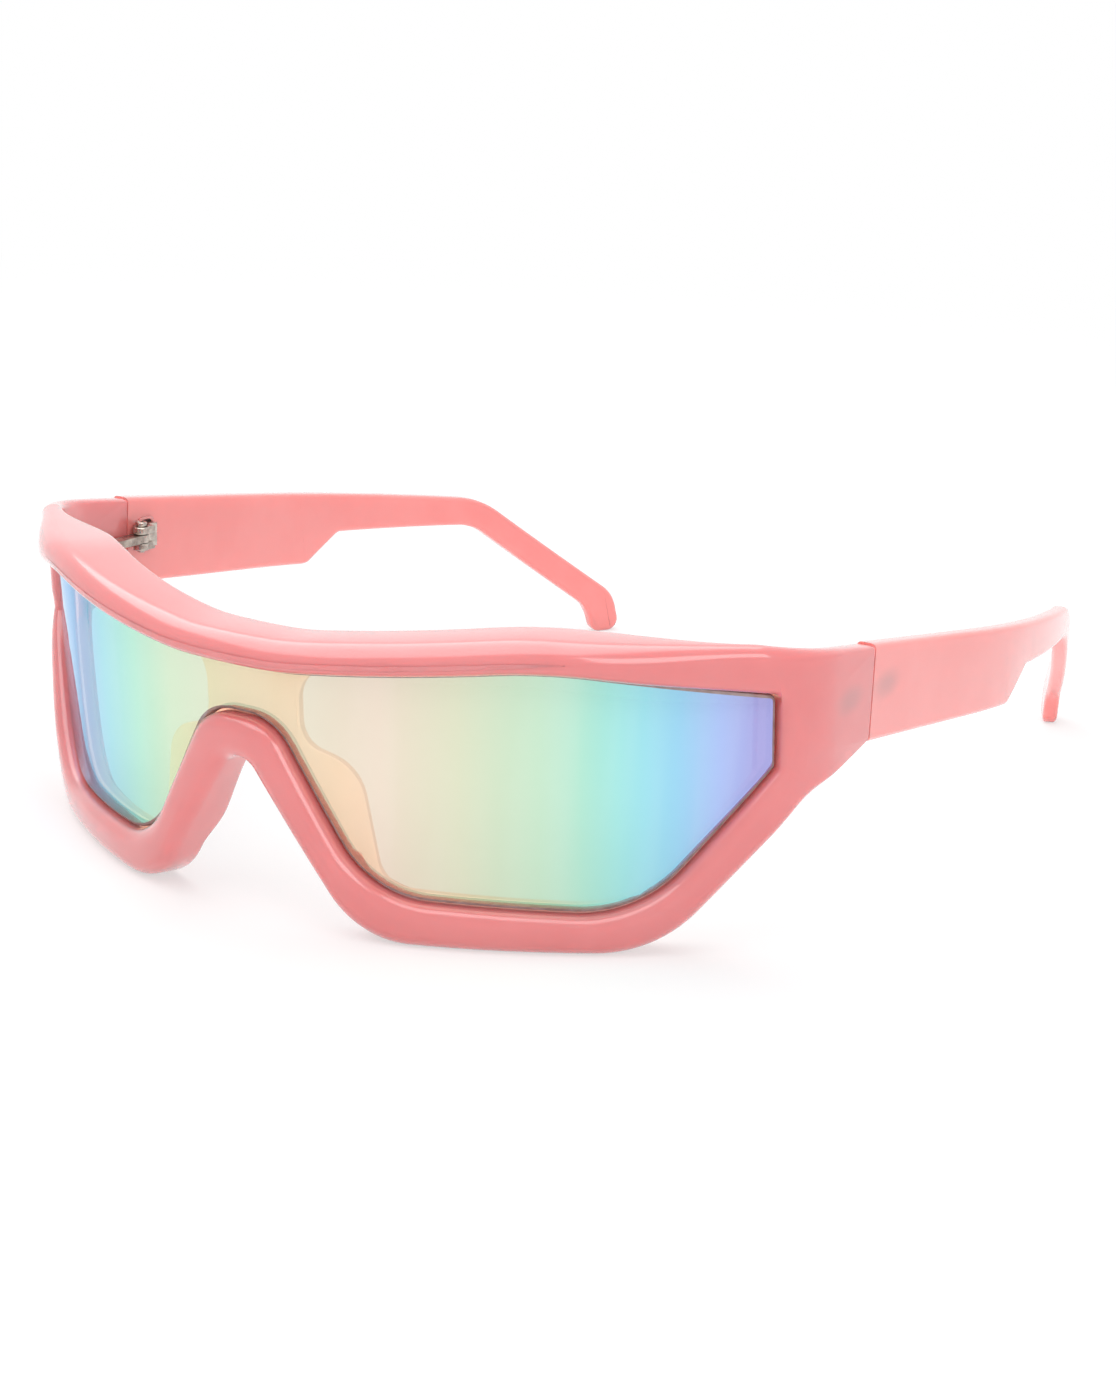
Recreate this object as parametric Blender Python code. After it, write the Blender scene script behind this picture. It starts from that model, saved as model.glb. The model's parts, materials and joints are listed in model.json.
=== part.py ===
"""Wraparound sunglasses: a one-piece front, a mirrored shield lens and two folding temples.

The front is drawn as a flat pattern and then wrapped on its plan curve. A place on the pattern is
(along, height): along is the distance from the middle of the nose, measured round the curve of the
lens face, and height is above the table that the sunglasses stand on. Depth is measured from the
lens face towards the wearer. X is to the wearer's left, Y towards the back and Z up.
"""

import math
from collections import namedtuple

import bmesh
import bpy
from mathutils import Vector

MM = 0.001

# Plan curve of the lens face
LUG_OUTSIDE = 70.0 * MM
APEX_RADIUS = 58.0 * MM
BEND_INBOARD = 4.75 * MM
LUG_STRAIGHT = 7.9 * MM
FORWARD_LEAN_SHARE = 0.1
LEAN_LEVEL = 25.0 * MM

# Lens window, as (along, height)
ARCH_CREST = 30.6 * MM
ARCH_SHOULDER = 5.4 * MM
ARCH_FOOT = 19.3 * MM
WINDOW_SILL = 6.6 * MM
WINDOW_HEEL_BEFORE_SIDE = 19.7 * MM
WINDOW_HEEL_HEIGHT = 5.5 * MM
WINDOW_SIDE_BEFORE_SEAM = 17.97 * MM
WINDOW_SIDE_LOW = 27.2 * MM
WINDOW_SIDE_HEIGHT = 11.0 * MM
WINDOW_SIDE_TOP = WINDOW_SIDE_LOW + WINDOW_SIDE_HEIGHT
WINDOW_OVER_NOSE = 8.1 * MM
WINDOW_BROW_DIP = ARCH_CREST + WINDOW_OVER_NOSE
WINDOW_BROW_RISE = 44.0 * MM
WINDOW_PEAK_RISE = 3.3 * MM
WINDOW_BROW_PEAK = WINDOW_BROW_DIP + WINDOW_PEAK_RISE

# Outer edge of the front, from the window it goes round
ARCH_RIM_HEIGHT = 6.3 * MM
NOSE_CREST = ARCH_CREST - ARCH_RIM_HEIGHT
ARCH_RIM_WIDTH = 3.6 * MM
NOSE_SHOULDER = ARCH_SHOULDER - ARCH_RIM_WIDTH
NOSE_FLAT = 0.1 * MM
FOOT_RIM_WIDTH = 1.3 * MM
NOSE_FOOT = ARCH_FOOT - FOOT_RIM_WIDTH
PAD_PLACE_SHARE = 0.5
RIM_HEEL_OUTSET = 2.1 * MM
LUG_HEEL_BEFORE_SEAM = 13.57 * MM
LUG_HEEL_DROP = 4.2 * MM
LUG_BROW_BEFORE_SEAM = 21.07 * MM
LUG_BROW_WALL = 7.1 * MM
BROW_RISE = 42.0 * MM
BROW_PEAK_WALL = 4.5 * MM
BROW_PEAK = WINDOW_BROW_PEAK + BROW_PEAK_WALL
BROW_DIP_PLACE = 8.0 * MM
BROW_DIP_WALL = 4.4 * MM
BROW_DIP = WINDOW_BROW_DIP + BROW_DIP_WALL
LUG_OVERRUN = 5.9 * MM
WINDOW_END_SHARE = 0.3

# Fillets of the window and of the outer edge
ARCH_SHOULDER_ROUND = 7.2 * MM
ARCH_FOOT_ROUND = 15.0 * MM
WINDOW_HEEL_ROUND = 20.0 * MM
WINDOW_CORNER_ROUND = 1.4 * MM
NOSE_FOOT_ROUND = 13.0 * MM
RIM_HEEL_ROUND = 20.0 * MM
LUG_ROUND = 12.0 * MM
BROW_PEAK_ROUND = 70.0 * MM
BROW_DIP_ROUND = 60.0 * MM

# Shield lens and the web that carries it
LENS_THICKNESS = 2.0 * MM
LENS_CLEARANCE = 0.3 * MM
LENS_CHAMFER = 0.25 * MM
WEB_THICKNESS = 1.8 * MM
WEB_ROOT = 1.2 * MM
WEB_CUT_OVERRUN = 1.0 * MM

# Wall of the front: how far it stands before and behind the lens face
RIM_LIP = 0.5 * MM
RIM_CROWN_RISE = 1.9 * MM
RIM_CROWN = RIM_LIP + RIM_CROWN_RISE
WEB_RECESS = 0.5 * MM
RIM_BACK = LENS_THICKNESS + LENS_CLEARANCE + WEB_THICKNESS + WEB_RECESS
BROW_LIP = 2.4 * MM
BROW_CROWN_RISE = 1.8 * MM
BROW_CROWN = BROW_LIP + BROW_CROWN_RISE
BROW_SHELF = 1.8 * MM
BROW_BACK = RIM_BACK + BROW_SHELF
NOSE_SHELF = 0.8 * MM
NOSE_BACK = RIM_BACK + NOSE_SHELF
PAD_SHELF = 1.8 * MM
PAD_BACK = RIM_BACK + PAD_SHELF
LUG_CROWN = 2.25 * MM
LUG_CROWN_RISE = 1.75 * MM
LUG_LIP = LUG_CROWN - LUG_CROWN_RISE
BEND_CROWN_RISE = 1.4 * MM
BEND_CROWN = LUG_LIP + BEND_CROWN_RISE
SEAM_THICKNESS = 3.2 * MM
BEND_BACK = SEAM_THICKNESS - BEND_CROWN
RIM_EDGE_ROUND = 2.6 * MM
BROW_EDGE_ROUND = 3.4 * MM
BEND_EDGE_ROUND = 1.8 * MM
LUG_EDGE_ROUND = 1.0 * MM
CROWN_RUN = 3.4 * MM
BACK_ROUND = 1.0 * MM
CROWN_SHARE = 0.42
BACK_RUN = 7.0 * MM
BACK_SLOPE_SHARES = (0.5, 0.12)

# Eye openings in the web: beside the nose they leave a broad shoulder, and elsewhere a narrow ledge
EYE_LEDGE = 0.7 * MM
EYE_SHOULDER_OUTSET = 3.0 * MM
EYE_INNER = ARCH_SHOULDER + EYE_SHOULDER_OUTSET
EYE_SHOULDER_DROP = 3.3 * MM
EYE_SHOULDER_HEIGHT = ARCH_CREST - EYE_SHOULDER_DROP
EYE_SHOULDER_RUN = 9.1 * MM
EYE_LEG_TOP = EYE_INNER + EYE_SHOULDER_RUN
EYE_SHOULDER_SLOPE = 2.6 * MM
EYE_LEG_TOP_HEIGHT = EYE_SHOULDER_HEIGHT - EYE_SHOULDER_SLOPE
EYE_FOOT_OUTSET = 1.3 * MM
EYE_LEG_FOOT = ARCH_FOOT + EYE_FOOT_OUTSET
EYE_SILL = WINDOW_SILL + EYE_LEDGE
EYE_HEEL_INSET = 0.3 * MM
EYE_HEEL_HEIGHT = WINDOW_HEEL_HEIGHT + EYE_LEDGE
EYE_SIDE_RISE = 0.3 * MM
EYE_SIDE_LOW = WINDOW_SIDE_LOW + EYE_SIDE_RISE
EYE_SIDE_TOP = WINDOW_SIDE_TOP - EYE_LEDGE
EYE_BROW = WINDOW_BROW_PEAK - EYE_LEDGE
EYE_TOP = WINDOW_BROW_DIP - EYE_LEDGE
EYE_TOP_ROUND = 5.0 * MM
EYE_SHOULDER_ROUND = 4.0 * MM
EYE_LEG_ROUND = 7.0 * MM
EYE_FOOT_ROUND = 4.5 * MM
EYE_HEEL_ROUND = WINDOW_HEEL_ROUND - EYE_LEDGE
EYE_SIDE_ROUND = WINDOW_CORNER_ROUND - EYE_LEDGE

# Temples, as (along, height) on their outer face, along being measured from the seam
SEAM_GAP = 0.3 * MM
TEMPLE_TAPER = 0.6 * MM
TEMPLE_STRAIGHT = 35.0 * MM
TEMPLE_BOW_RADIUS = 180.0 * MM
TEMPLE_EDGE_ROUND = 0.9 * MM
TIP_END = 127.7 * MM
TIP_HEEL_RUN = 2.2 * MM
TIP_BACK = TIP_END - TIP_HEEL_RUN
TIP_BACK_HEIGHT = 7.4 * MM
TIP_WIDTH = 6.4 * MM
TIP_INNER = TIP_END - TIP_WIDTH
TIP_TOE_RUN = 1.8 * MM
TIP_FRONT = TIP_INNER - TIP_TOE_RUN
TIP_FRONT_HEIGHT = 5.2 * MM
TIP_ROUND = 4.0 * MM
TIP_CORNER_ROUND = 1.6 * MM
HOOK_LENGTH = 34.0 * MM
SHOULDER = TIP_END - HOOK_LENGTH
SHOULDER_HEIGHT = 28.8 * MM
SHOULDER_ROUND = 14.0 * MM
HOOK_BEFORE_SHOULDER = 1.8 * MM
HOOK = SHOULDER - HOOK_BEFORE_SHOULDER
HOOK_DEPTH = 4.8 * MM
HOOK_HEIGHT = SHOULDER_HEIGHT - HOOK_DEPTH
HOOK_ROUND = 10.0 * MM
NOTCH_TOP = 57.8 * MM
NOTCH_TOP_HEIGHT = 27.0 * MM
NOTCH_RUN = 8.3 * MM
NOTCH_BOTTOM = NOTCH_TOP - NOTCH_RUN
NOTCH_STEP = 4.6 * MM
NOTCH_BOTTOM_HEIGHT = NOTCH_TOP_HEIGHT - NOTCH_STEP
NOTCH_CLEARANCE = 0.3 * MM
NOTCH_ROUND = TEMPLE_EDGE_ROUND + NOTCH_CLEARANCE

# Hinges: the axis stands behind the seam and inboard of the temple's inner face
BARREL_RADIUS = 1.3 * MM
BARREL_CLEARANCE = 0.3 * MM
BARREL_BEHIND_SEAM = 0.4 * MM
HINGE_BEHIND_SEAM = BARREL_RADIUS + BARREL_BEHIND_SEAM
HINGE_INBOARD = BARREL_RADIUS + BARREL_CLEARANCE
HINGE_LEVEL = 35.5 * MM
SEAM_UNDER_HINGE = 7.8 * MM
SEAM_OVER_HINGE = 6.7 * MM
SEAM_BOTTOM = HINGE_LEVEL - SEAM_UNDER_HINGE
SEAM_TOP = HINGE_LEVEL + SEAM_OVER_HINGE
LEAF_HEIGHT = 1.3 * MM
EAR_HEIGHT = 1.2 * MM
KNUCKLE_GAP = 0.1 * MM
LEAF_INSET = 0.2 * MM
LEAF_THICKNESS = 2.0 * (BARREL_RADIUS - LEAF_INSET)
FRONT_BLOCK_LENGTH = 3.0 * MM
FRONT_BLOCK_BEFORE_SEAM = 9.4 * MM
BLOCK_PAST_AXIS = 1.0 * MM
HINGE_PROUD = HINGE_INBOARD + BLOCK_PAST_AXIS
HINGE_CAP_ROUND = 1.1 * MM
LEAF_OVERLAP = 0.8 * MM
ROOT_DEPTH = 1.5 * MM
ROOT_CLEARANCE = 0.3 * MM
TEMPLE_BLOCK_LENGTH = 2.6 * MM
BLOCK_CLEARANCE = 0.3 * MM
SCREW_RADIUS = 0.6 * MM
SCREW_CLEARANCE = 0.08 * MM
SCREW_LEDGE = 0.35 * MM
SCREW_HEAD_RADIUS = SCREW_RADIUS + SCREW_LEDGE
SCREW_HEAD_HEIGHT = 0.7 * MM
SCREW_END = 0.4 * MM
SCREW_CHAMFER = 0.15 * MM
SLOT_WIDTH = 0.28 * MM
SLOT_FLOOR = 0.4 * MM
SLOT_DEPTH = SCREW_HEAD_HEIGHT - SLOT_FLOOR

# Fineness of the model
CUT_SPACING = 4.0 * MM
LEAST_PARTS = 2
LUG_CUTS = 3
CROWN_STEPS = 3
BACK_STEPS = 2
ROUND_SIDES = 24
EDGE_STEPS = 2
SOLVE_ROUNDS = 12
CAP_STEPS = 3
RIM_ANGLE = math.radians(45.0)
SHARP_ANGLE = math.radians(30.0)
MITRE_LIMIT_SHARE = 0.5
TINY = 0.001 * MM
CUTTER_OVERRUN = 1.0 * MM

Section = namedtuple("Section", "lip crown back_in back_out edge_round")
Corner = namedtuple("Corner", "window outer window_round outer_round arc_steps run_steps section")
Side = namedtuple("Side", "name sign")
Finish = namedtuple("Finish", "colour roughness metallic")

SIDES = (Side("left", 1.0), Side("right", -1.0))

PINK_PLASTIC = Finish((0.86, 0.24, 0.22, 1.0), 0.12, 0.0)
MIRROR_LENS = Finish((0.62, 0.80, 0.72, 1.0), 0.04, 0.9)
STEEL = Finish((0.62, 0.61, 0.58, 1.0), 0.25, 1.0)

ARCH_SECTION = Section(RIM_LIP, RIM_CROWN, RIM_BACK, NOSE_BACK, RIM_EDGE_ROUND)
PAD_SECTION = Section(RIM_LIP, RIM_CROWN, RIM_BACK, PAD_BACK, RIM_EDGE_ROUND)
RIM_SECTION = Section(RIM_LIP, RIM_CROWN, RIM_BACK, RIM_BACK, RIM_EDGE_ROUND)
LUG_BACK = SEAM_THICKNESS - LUG_CROWN
LUG_SECTION = Section(LUG_LIP, LUG_CROWN, RIM_BACK, LUG_BACK, LUG_EDGE_ROUND)
BEND_SECTION = Section(LUG_LIP, BEND_CROWN, RIM_BACK, BEND_BACK, BEND_EDGE_ROUND)
BROW_SECTION = Section(BROW_LIP, BROW_CROWN, RIM_BACK, BROW_BACK, BROW_EDGE_ROUND)


def bend_half_width():
    """Half width of the lens curve where it turns into the lug."""
    return lug_centre_width() - BEND_INBOARD


def bend_slope():
    """Slope of the lens curve where it turns into the lug."""
    return bend_half_width() / APEX_RADIUS


def parabola_length(half_width):
    """Length of the lens curve from the middle to a half width."""
    ratio = half_width / APEX_RADIUS
    return 0.5 * APEX_RADIUS * (ratio * math.hypot(1.0, ratio) + math.asinh(ratio))


def lug_centre_width():
    """Distance from the middle plane to the lens curve where it runs straight back."""
    return LUG_OUTSIDE - LUG_CROWN


def lug_bend_radius():
    """Radius that joins the lens curve to the straight lug."""
    turned = math.sin(math.atan(bend_slope()))
    return BEND_INBOARD / (1.0 - turned)


def lug_bend_length():
    """Length of the bend between the lens curve and the straight lug."""
    return lug_bend_radius() * (0.5 * math.pi - math.atan(bend_slope()))


def seam_along():
    """Distance along the front's curve to the hinge seam."""
    return parabola_length(bend_half_width()) + lug_bend_length() + LUG_STRAIGHT


def apex_back():
    """Y of the lens face in the middle, the seam being at zero."""
    bend_depth = lug_bend_radius() * math.cos(math.atan(bend_slope()))
    return -(LUG_STRAIGHT + bend_depth + 0.5 * bend_half_width() * bend_slope())


def half_width_at(along):
    """Half width of the lens curve at a distance along it, found by Newton's method."""
    half_width = along
    for _ in range(SOLVE_ROUNDS):
        error = parabola_length(half_width) - along
        half_width -= error / math.hypot(1.0, half_width / APEX_RADIUS)
    return half_width


def plan_place(along):
    """Point of the plan curve at a distance along it, with the direction that faces the wearer."""
    bend_start = parabola_length(bend_half_width())
    bend_end = bend_start + lug_bend_length()
    if along <= bend_start:
        half_width = half_width_at(along)
        angle = math.atan(half_width / APEX_RADIUS)
        place = (half_width, apex_back() + 0.5 * half_width * half_width / APEX_RADIUS)
    elif along <= bend_end:
        radius = lug_bend_radius()
        angle = math.atan(bend_slope()) + (along - bend_start) / radius
        place = (
            lug_centre_width() - radius * (1.0 - math.sin(angle)),
            -LUG_STRAIGHT - radius * math.cos(angle),
        )
    else:
        angle = 0.5 * math.pi
        place = (lug_centre_width(), along - bend_end - LUG_STRAIGHT)
    return place, (-math.sin(angle), math.cos(angle))


def front_point(along, height, depth):
    """Wraps a place on the flat pattern of the front into space."""
    side = -1.0 if along < 0.0 else 1.0
    (across, back), (inward_x, inward_y) = plan_place(abs(along))
    lean = FORWARD_LEAN_SHARE * (height - LEAN_LEVEL)
    return Vector((side * (across + depth * inward_x), back + depth * inward_y - lean, height))


def temple_point(along, height, depth):
    """Wraps a place on a left temple's flat pattern into space; depth runs inwards from its outer face."""
    angle = max(0.0, along - TEMPLE_STRAIGHT) / TEMPLE_BOW_RADIUS
    straight = min(along, TEMPLE_STRAIGHT)
    radius = TEMPLE_BOW_RADIUS - depth
    across = LUG_OUTSIDE - TEMPLE_BOW_RADIUS + radius * math.cos(angle)
    return Vector((across, straight + radius * math.sin(angle), height))


def fillet(before, corner, after, radius, steps):
    """Points of the arc that rounds one corner of a flat outline."""
    if steps == 0:
        return [corner]
    here = Vector(corner)
    back = (Vector(before) - here).normalized()
    ahead = (Vector(after) - here).normalized()
    half_angle = 0.5 * back.angle(ahead)
    reach = radius / math.tan(half_angle)
    centre = here + (back + ahead).normalized() * (radius / math.sin(half_angle))
    first = here + back * reach - centre
    last = here + ahead * reach - centre
    sweep = first.angle_signed(last)
    points = []
    for step in range(steps + 1):
        turn = -sweep * step / steps
        turned = Vector(
            (
                first.x * math.cos(turn) - first.y * math.sin(turn),
                first.x * math.sin(turn) + first.y * math.cos(turn),
            )
        )
        points.append(tuple(centre + turned))
    return points


def rounded(corners):
    """Closed flat outline from corners given as (place, radius, steps)."""
    places = [place for place, _, _ in corners]
    points = []
    for index, (place, radius, steps) in enumerate(corners):
        before = places[index - 1]
        after = places[(index + 1) % len(places)]
        points += fillet(before, place, after, radius, steps)
    return points


def window_side():
    """Distance along the front's curve to the upright end of the lens window."""
    return seam_along() - WINDOW_SIDE_BEFORE_SEAM


def window_heel():
    """Distance along the front's curve to the lower outer corner of the lens window."""
    return window_side() - WINDOW_HEEL_BEFORE_SIDE


def reach_round(before, corner, after, reach):
    """Radius of the fillet that leaves the line before a corner at a distance from it."""
    back = Vector(before) - Vector(corner)
    ahead = Vector(after) - Vector(corner)
    return reach * math.tan(0.5 * back.angle(ahead))


def past_seam(corner, seam_height):
    """Carries the line from an outer corner to the seam on past it, so that the lug can be cut square."""
    along, height = corner
    slope = (seam_height - height) / (seam_along() - along)
    return seam_along() + LUG_OVERRUN, seam_height + LUG_OVERRUN * slope


def front_corners():
    """Corners of the left half of the front, from the arch over the nose round to the middle of the brow."""
    window_shoulder = (ARCH_SHOULDER, ARCH_CREST)
    window_foot = (ARCH_FOOT, WINDOW_SILL)
    nose_crest = (0.0, NOSE_CREST)
    nose_shoulder = (NOSE_SHOULDER, NOSE_CREST)
    nose_foot = (NOSE_FOOT, 0.0)
    nose_round = reach_round(nose_crest, nose_shoulder, nose_foot, NOSE_SHOULDER - NOSE_FLAT)
    side = window_side()
    lug_heel = (seam_along() - LUG_HEEL_BEFORE_SEAM, WINDOW_SIDE_LOW - LUG_HEEL_DROP)
    lug_brow = (seam_along() - LUG_BROW_BEFORE_SEAM, WINDOW_SIDE_TOP + LUG_BROW_WALL)
    window_end = WINDOW_END_SHARE * WINDOW_SIDE_HEIGHT
    return [
        Corner((0.0, ARCH_CREST), nose_crest, 0.0, 0.0, 0, 1, ARCH_SECTION),
        Corner(
            window_shoulder, nose_shoulder,
            ARCH_SHOULDER_ROUND, nose_round, 5, 1, ARCH_SECTION,
        ),
        Corner(
            blended(window_shoulder, window_foot, PAD_PLACE_SHARE),
            blended(nose_shoulder, nose_foot, PAD_PLACE_SHARE),
            0.0, 0.0, 0, 3, PAD_SECTION,
        ),
        Corner(window_foot, nose_foot, ARCH_FOOT_ROUND, NOSE_FOOT_ROUND, 5, 3, RIM_SECTION),
        Corner(
            (window_heel(), WINDOW_HEEL_HEIGHT), (window_heel() + RIM_HEEL_OUTSET, 0.0),
            WINDOW_HEEL_ROUND, RIM_HEEL_ROUND, 4, 4, RIM_SECTION,
        ),
        Corner(
            (side, WINDOW_SIDE_LOW), lug_heel,
            WINDOW_CORNER_ROUND, LUG_ROUND, 3, 3, BEND_SECTION,
        ),
        Corner(
            (side, WINDOW_SIDE_LOW + window_end), past_seam(lug_heel, SEAM_BOTTOM),
            0.0, 0.0, 0, 2, LUG_SECTION,
        ),
        Corner(
            (side, WINDOW_SIDE_TOP - window_end), past_seam(lug_brow, SEAM_TOP),
            0.0, 0.0, 0, 3, LUG_SECTION,
        ),
        Corner(
            (side, WINDOW_SIDE_TOP), lug_brow,
            WINDOW_CORNER_ROUND, LUG_ROUND, 3, 2, BEND_SECTION,
        ),
        Corner(
            (WINDOW_BROW_RISE, WINDOW_BROW_PEAK), (BROW_RISE, BROW_PEAK),
            BROW_PEAK_ROUND, BROW_PEAK_ROUND, 4, 5, BROW_SECTION,
        ),
        Corner(
            (BROW_DIP_PLACE, WINDOW_BROW_DIP), (BROW_DIP_PLACE, BROW_DIP),
            BROW_DIP_ROUND, BROW_DIP_ROUND, 3, 4, BROW_SECTION,
        ),
        Corner((0.0, WINDOW_BROW_DIP), (0.0, BROW_DIP), 0.0, 0.0, 0, 2, BROW_SECTION),
    ]


def blended(first, second, share):
    """Mixes two places or two wall sections by a share."""
    mixed = [(1.0 - share) * a + share * b for a, b in zip(first, second)]
    return type(first)(*mixed) if isinstance(first, Section) else tuple(mixed)


def half_stations():
    """Stations of the left half: (window place, outer place, section), from the arch to the brow."""
    corners = front_corners()
    last = len(corners) - 1
    stations = []
    for index, corner in enumerate(corners):
        before = corners[max(0, index - 1)]
        after = corners[min(last, index + 1)]
        window = fillet(before.window, corner.window, after.window, corner.window_round, corner.arc_steps)
        outer = fillet(before.outer, corner.outer, after.outer, corner.outer_round, corner.arc_steps)
        for step in range(1, corner.run_steps if index else 1):
            share = step / corner.run_steps
            smooth = share * share * (3.0 - 2.0 * share)
            start_window, start_outer, _ = run_start
            stations.append(
                (
                    blended(start_window, window[0], share),
                    blended(start_outer, outer[0], share),
                    blended(before.section, corner.section, smooth),
                )
            )
        stations += [(inner, edge, corner.section) for inner, edge in zip(window, outer)]
        run_start = stations[-1]
    return stations


def all_stations():
    """Stations of the whole loop round the window."""
    half = half_stations()
    mirrored = [((-w[0], w[1]), (-o[0], o[1]), section) for w, o, section in half[1:-1]]
    return half + mirrored[::-1]


def section_points(width, section):
    """Wall section as (reach, depth), reach being measured from the window towards the outer edge."""
    crown_run = min(CROWN_RUN, CROWN_SHARE * width)
    crown_drop = section.crown - section.lip
    edge = section.edge_round
    points = [(0.0, section.back_in)]
    for step in range(CROWN_STEPS + 1):
        angle = 0.5 * math.pi * step / CROWN_STEPS
        points.append((crown_run * (1.0 - math.cos(angle)), -section.lip - crown_drop * math.sin(angle)))
    for step in range(CROWN_STEPS + 1):
        angle = 0.5 * math.pi * step / CROWN_STEPS
        depth = edge * (1.0 - math.cos(angle)) - section.crown
        points.append((width - edge * (1.0 - math.sin(angle)), depth))
    for step in range(BACK_STEPS + 1):
        angle = 0.5 * math.pi * step / BACK_STEPS
        reach = width - BACK_ROUND * (1.0 - math.cos(angle))
        points.append((reach, section.back_out - BACK_ROUND * (1.0 - math.sin(angle))))
    back_run = min(BACK_RUN, width)
    slope_start, slope_end = BACK_SLOPE_SHARES
    points.append((slope_start * back_run, section.back_out))
    points.append((slope_end * back_run, section.back_in))
    return points


def finished(name, bm):
    """Turns a bmesh into an object of the scene, with its faces out."""
    bmesh.ops.remove_doubles(bm, verts=bm.verts, dist=TINY)
    bmesh.ops.recalc_face_normals(bm, faces=bm.faces)
    mesh = bpy.data.meshes.new(name)
    bm.to_mesh(mesh)
    bm.free()
    obj = bpy.data.objects.new(name, mesh)
    bpy.context.scene.collection.objects.link(obj)
    return obj


def ring_body(name):
    """The rim, brow and lugs as one closed wall round the window."""
    bm = bmesh.new()
    rings = []
    for window, outer, section in all_stations():
        start = Vector(window)
        out = Vector(outer) - start
        width = out.length
        out.normalize()
        ring = []
        for reach, depth in section_points(width, section):
            along, height = start + out * reach
            ring.append(bm.verts.new((along, depth, height)))
        rings.append(ring)
    count = len(rings[0])
    for index, ring in enumerate(rings):
        after = rings[(index + 1) % len(rings)]
        for place in range(count):
            following = (place + 1) % count
            bm.faces.new((ring[place], ring[following], after[following], after[place]))
    for side in SIDES:
        cut_across(bm, [side.sign * place for place in lug_cuts()])
    wrap(bm, front_point)
    cut_at_seam(bm)
    return finished(name, bm)


def lug_cuts():
    """Places along the left lug where its faces are cut, so that they follow the bend."""
    bend_end = seam_along() - LUG_STRAIGHT
    length = bend_end - window_side()
    return [bend_end - length * cut / LUG_CUTS for cut in range(LUG_CUTS)]


def cut_across(bm, places):
    """Cuts a flat pattern piece across at some places, so that it can bend there."""
    for place in places:
        bmesh.ops.bisect_plane(
            bm, geom=bm.verts[:] + bm.edges[:] + bm.faces[:], dist=TINY,
            plane_co=(place, 0.0, 0.0), plane_no=(1.0, 0.0, 0.0),
        )


def cut_at_seam(bm):
    """Cuts both lugs square at the seam and closes the cuts."""
    cut = bmesh.ops.bisect_plane(
        bm, geom=bm.verts[:] + bm.edges[:] + bm.faces[:], dist=TINY,
        plane_co=(0.0, 0.0, 0.0), plane_no=(0.0, 1.0, 0.0), clear_outer=True,
    )
    edges = [item for item in cut["geom_cut"] if isinstance(item, bmesh.types.BMEdge)]
    bmesh.ops.contextual_create(bm, geom=[edge for edge in edges if edge.verts[0].co.x > 0.0])
    bmesh.ops.contextual_create(bm, geom=[edge for edge in edges if edge.verts[0].co.x < 0.0])


def slab(outline, near, far, chamfer, steps):
    """Flat pattern piece as a bmesh: X is along, Y depth and Z height, with both rims chamfered."""
    bm = bmesh.new()
    bm.faces.new([bm.verts.new((along, near, height)) for along, height in outline])
    lowest = min(along for along, _ in outline)
    highest = max(along for along, _ in outline)
    parts = max(LEAST_PARTS, round((highest - lowest) / CUT_SPACING))
    cut_across(bm, [lowest + (highest - lowest) * part / parts for part in range(1, parts)])
    sheet = bmesh.ops.extrude_face_region(bm, geom=bm.faces[:], use_keep_orig=True)
    moved = [item for item in sheet["geom"] if isinstance(item, bmesh.types.BMVert)]
    bmesh.ops.translate(bm, verts=moved, vec=(0.0, far - near, 0.0))
    bmesh.ops.recalc_face_normals(bm, faces=bm.faces)
    if chamfer > 0.0:
        rims = [edge for edge in bm.edges if is_rim(edge, lowest)]
        bmesh.ops.bevel(
            bm, geom=rims, offset=chamfer, offset_type="OFFSET", segments=steps,
            profile=0.5, affect="EDGES", material=-1,
        )
    return bm


def is_rim(edge, lowest):
    """Tells an edge of a slab's outline from one inside a face, or one at the start of the pattern."""
    if len(edge.link_faces) < 2 or edge.calc_face_angle(0.0) < RIM_ANGLE:
        return False
    first, second = (vertex.co for vertex in edge.verts)
    across = abs(first.y - second.y) < TINY
    at_start = abs(first.x - lowest) < TINY and abs(second.x - lowest) < TINY
    return across and not at_start


def wrap(bm, place):
    """Moves each vertex of a flat pattern piece to its place in space, and splits the bent faces."""
    for vertex in bm.verts:
        vertex.co = place(vertex.co.x, vertex.co.z, vertex.co.y)
    bmesh.ops.triangulate(bm, faces=bm.faces)


def inset_window(distance):
    """Outline of the window, moved towards the outer edge by a distance."""
    points = []
    for window, outer, _ in all_stations():
        start = Vector(window)
        out = (Vector(outer) - start).normalized()
        points.append(tuple(start + out * distance))
    return points


def parallel_inset(outline, distance):
    """Closed outline moved inwards by a distance, square to its own edges."""
    area = sum(a[0] * b[1] - b[0] * a[1] for a, b in zip(outline, outline[1:] + outline[:1]))
    turn = 1.0 if area > 0.0 else -1.0
    points = []
    for index, place in enumerate(outline):
        here = Vector(place)
        before = (here - Vector(outline[index - 1])).normalized()
        after = (Vector(outline[(index + 1) % len(outline)]) - here).normalized()
        middle = (before + after).normalized()
        stretch = 1.0 / max(MITRE_LIMIT_SHARE, middle.dot(after))
        inward = Vector((-middle.y, middle.x)) * turn * stretch
        points.append(tuple(here + inward * distance))
    return points


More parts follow.
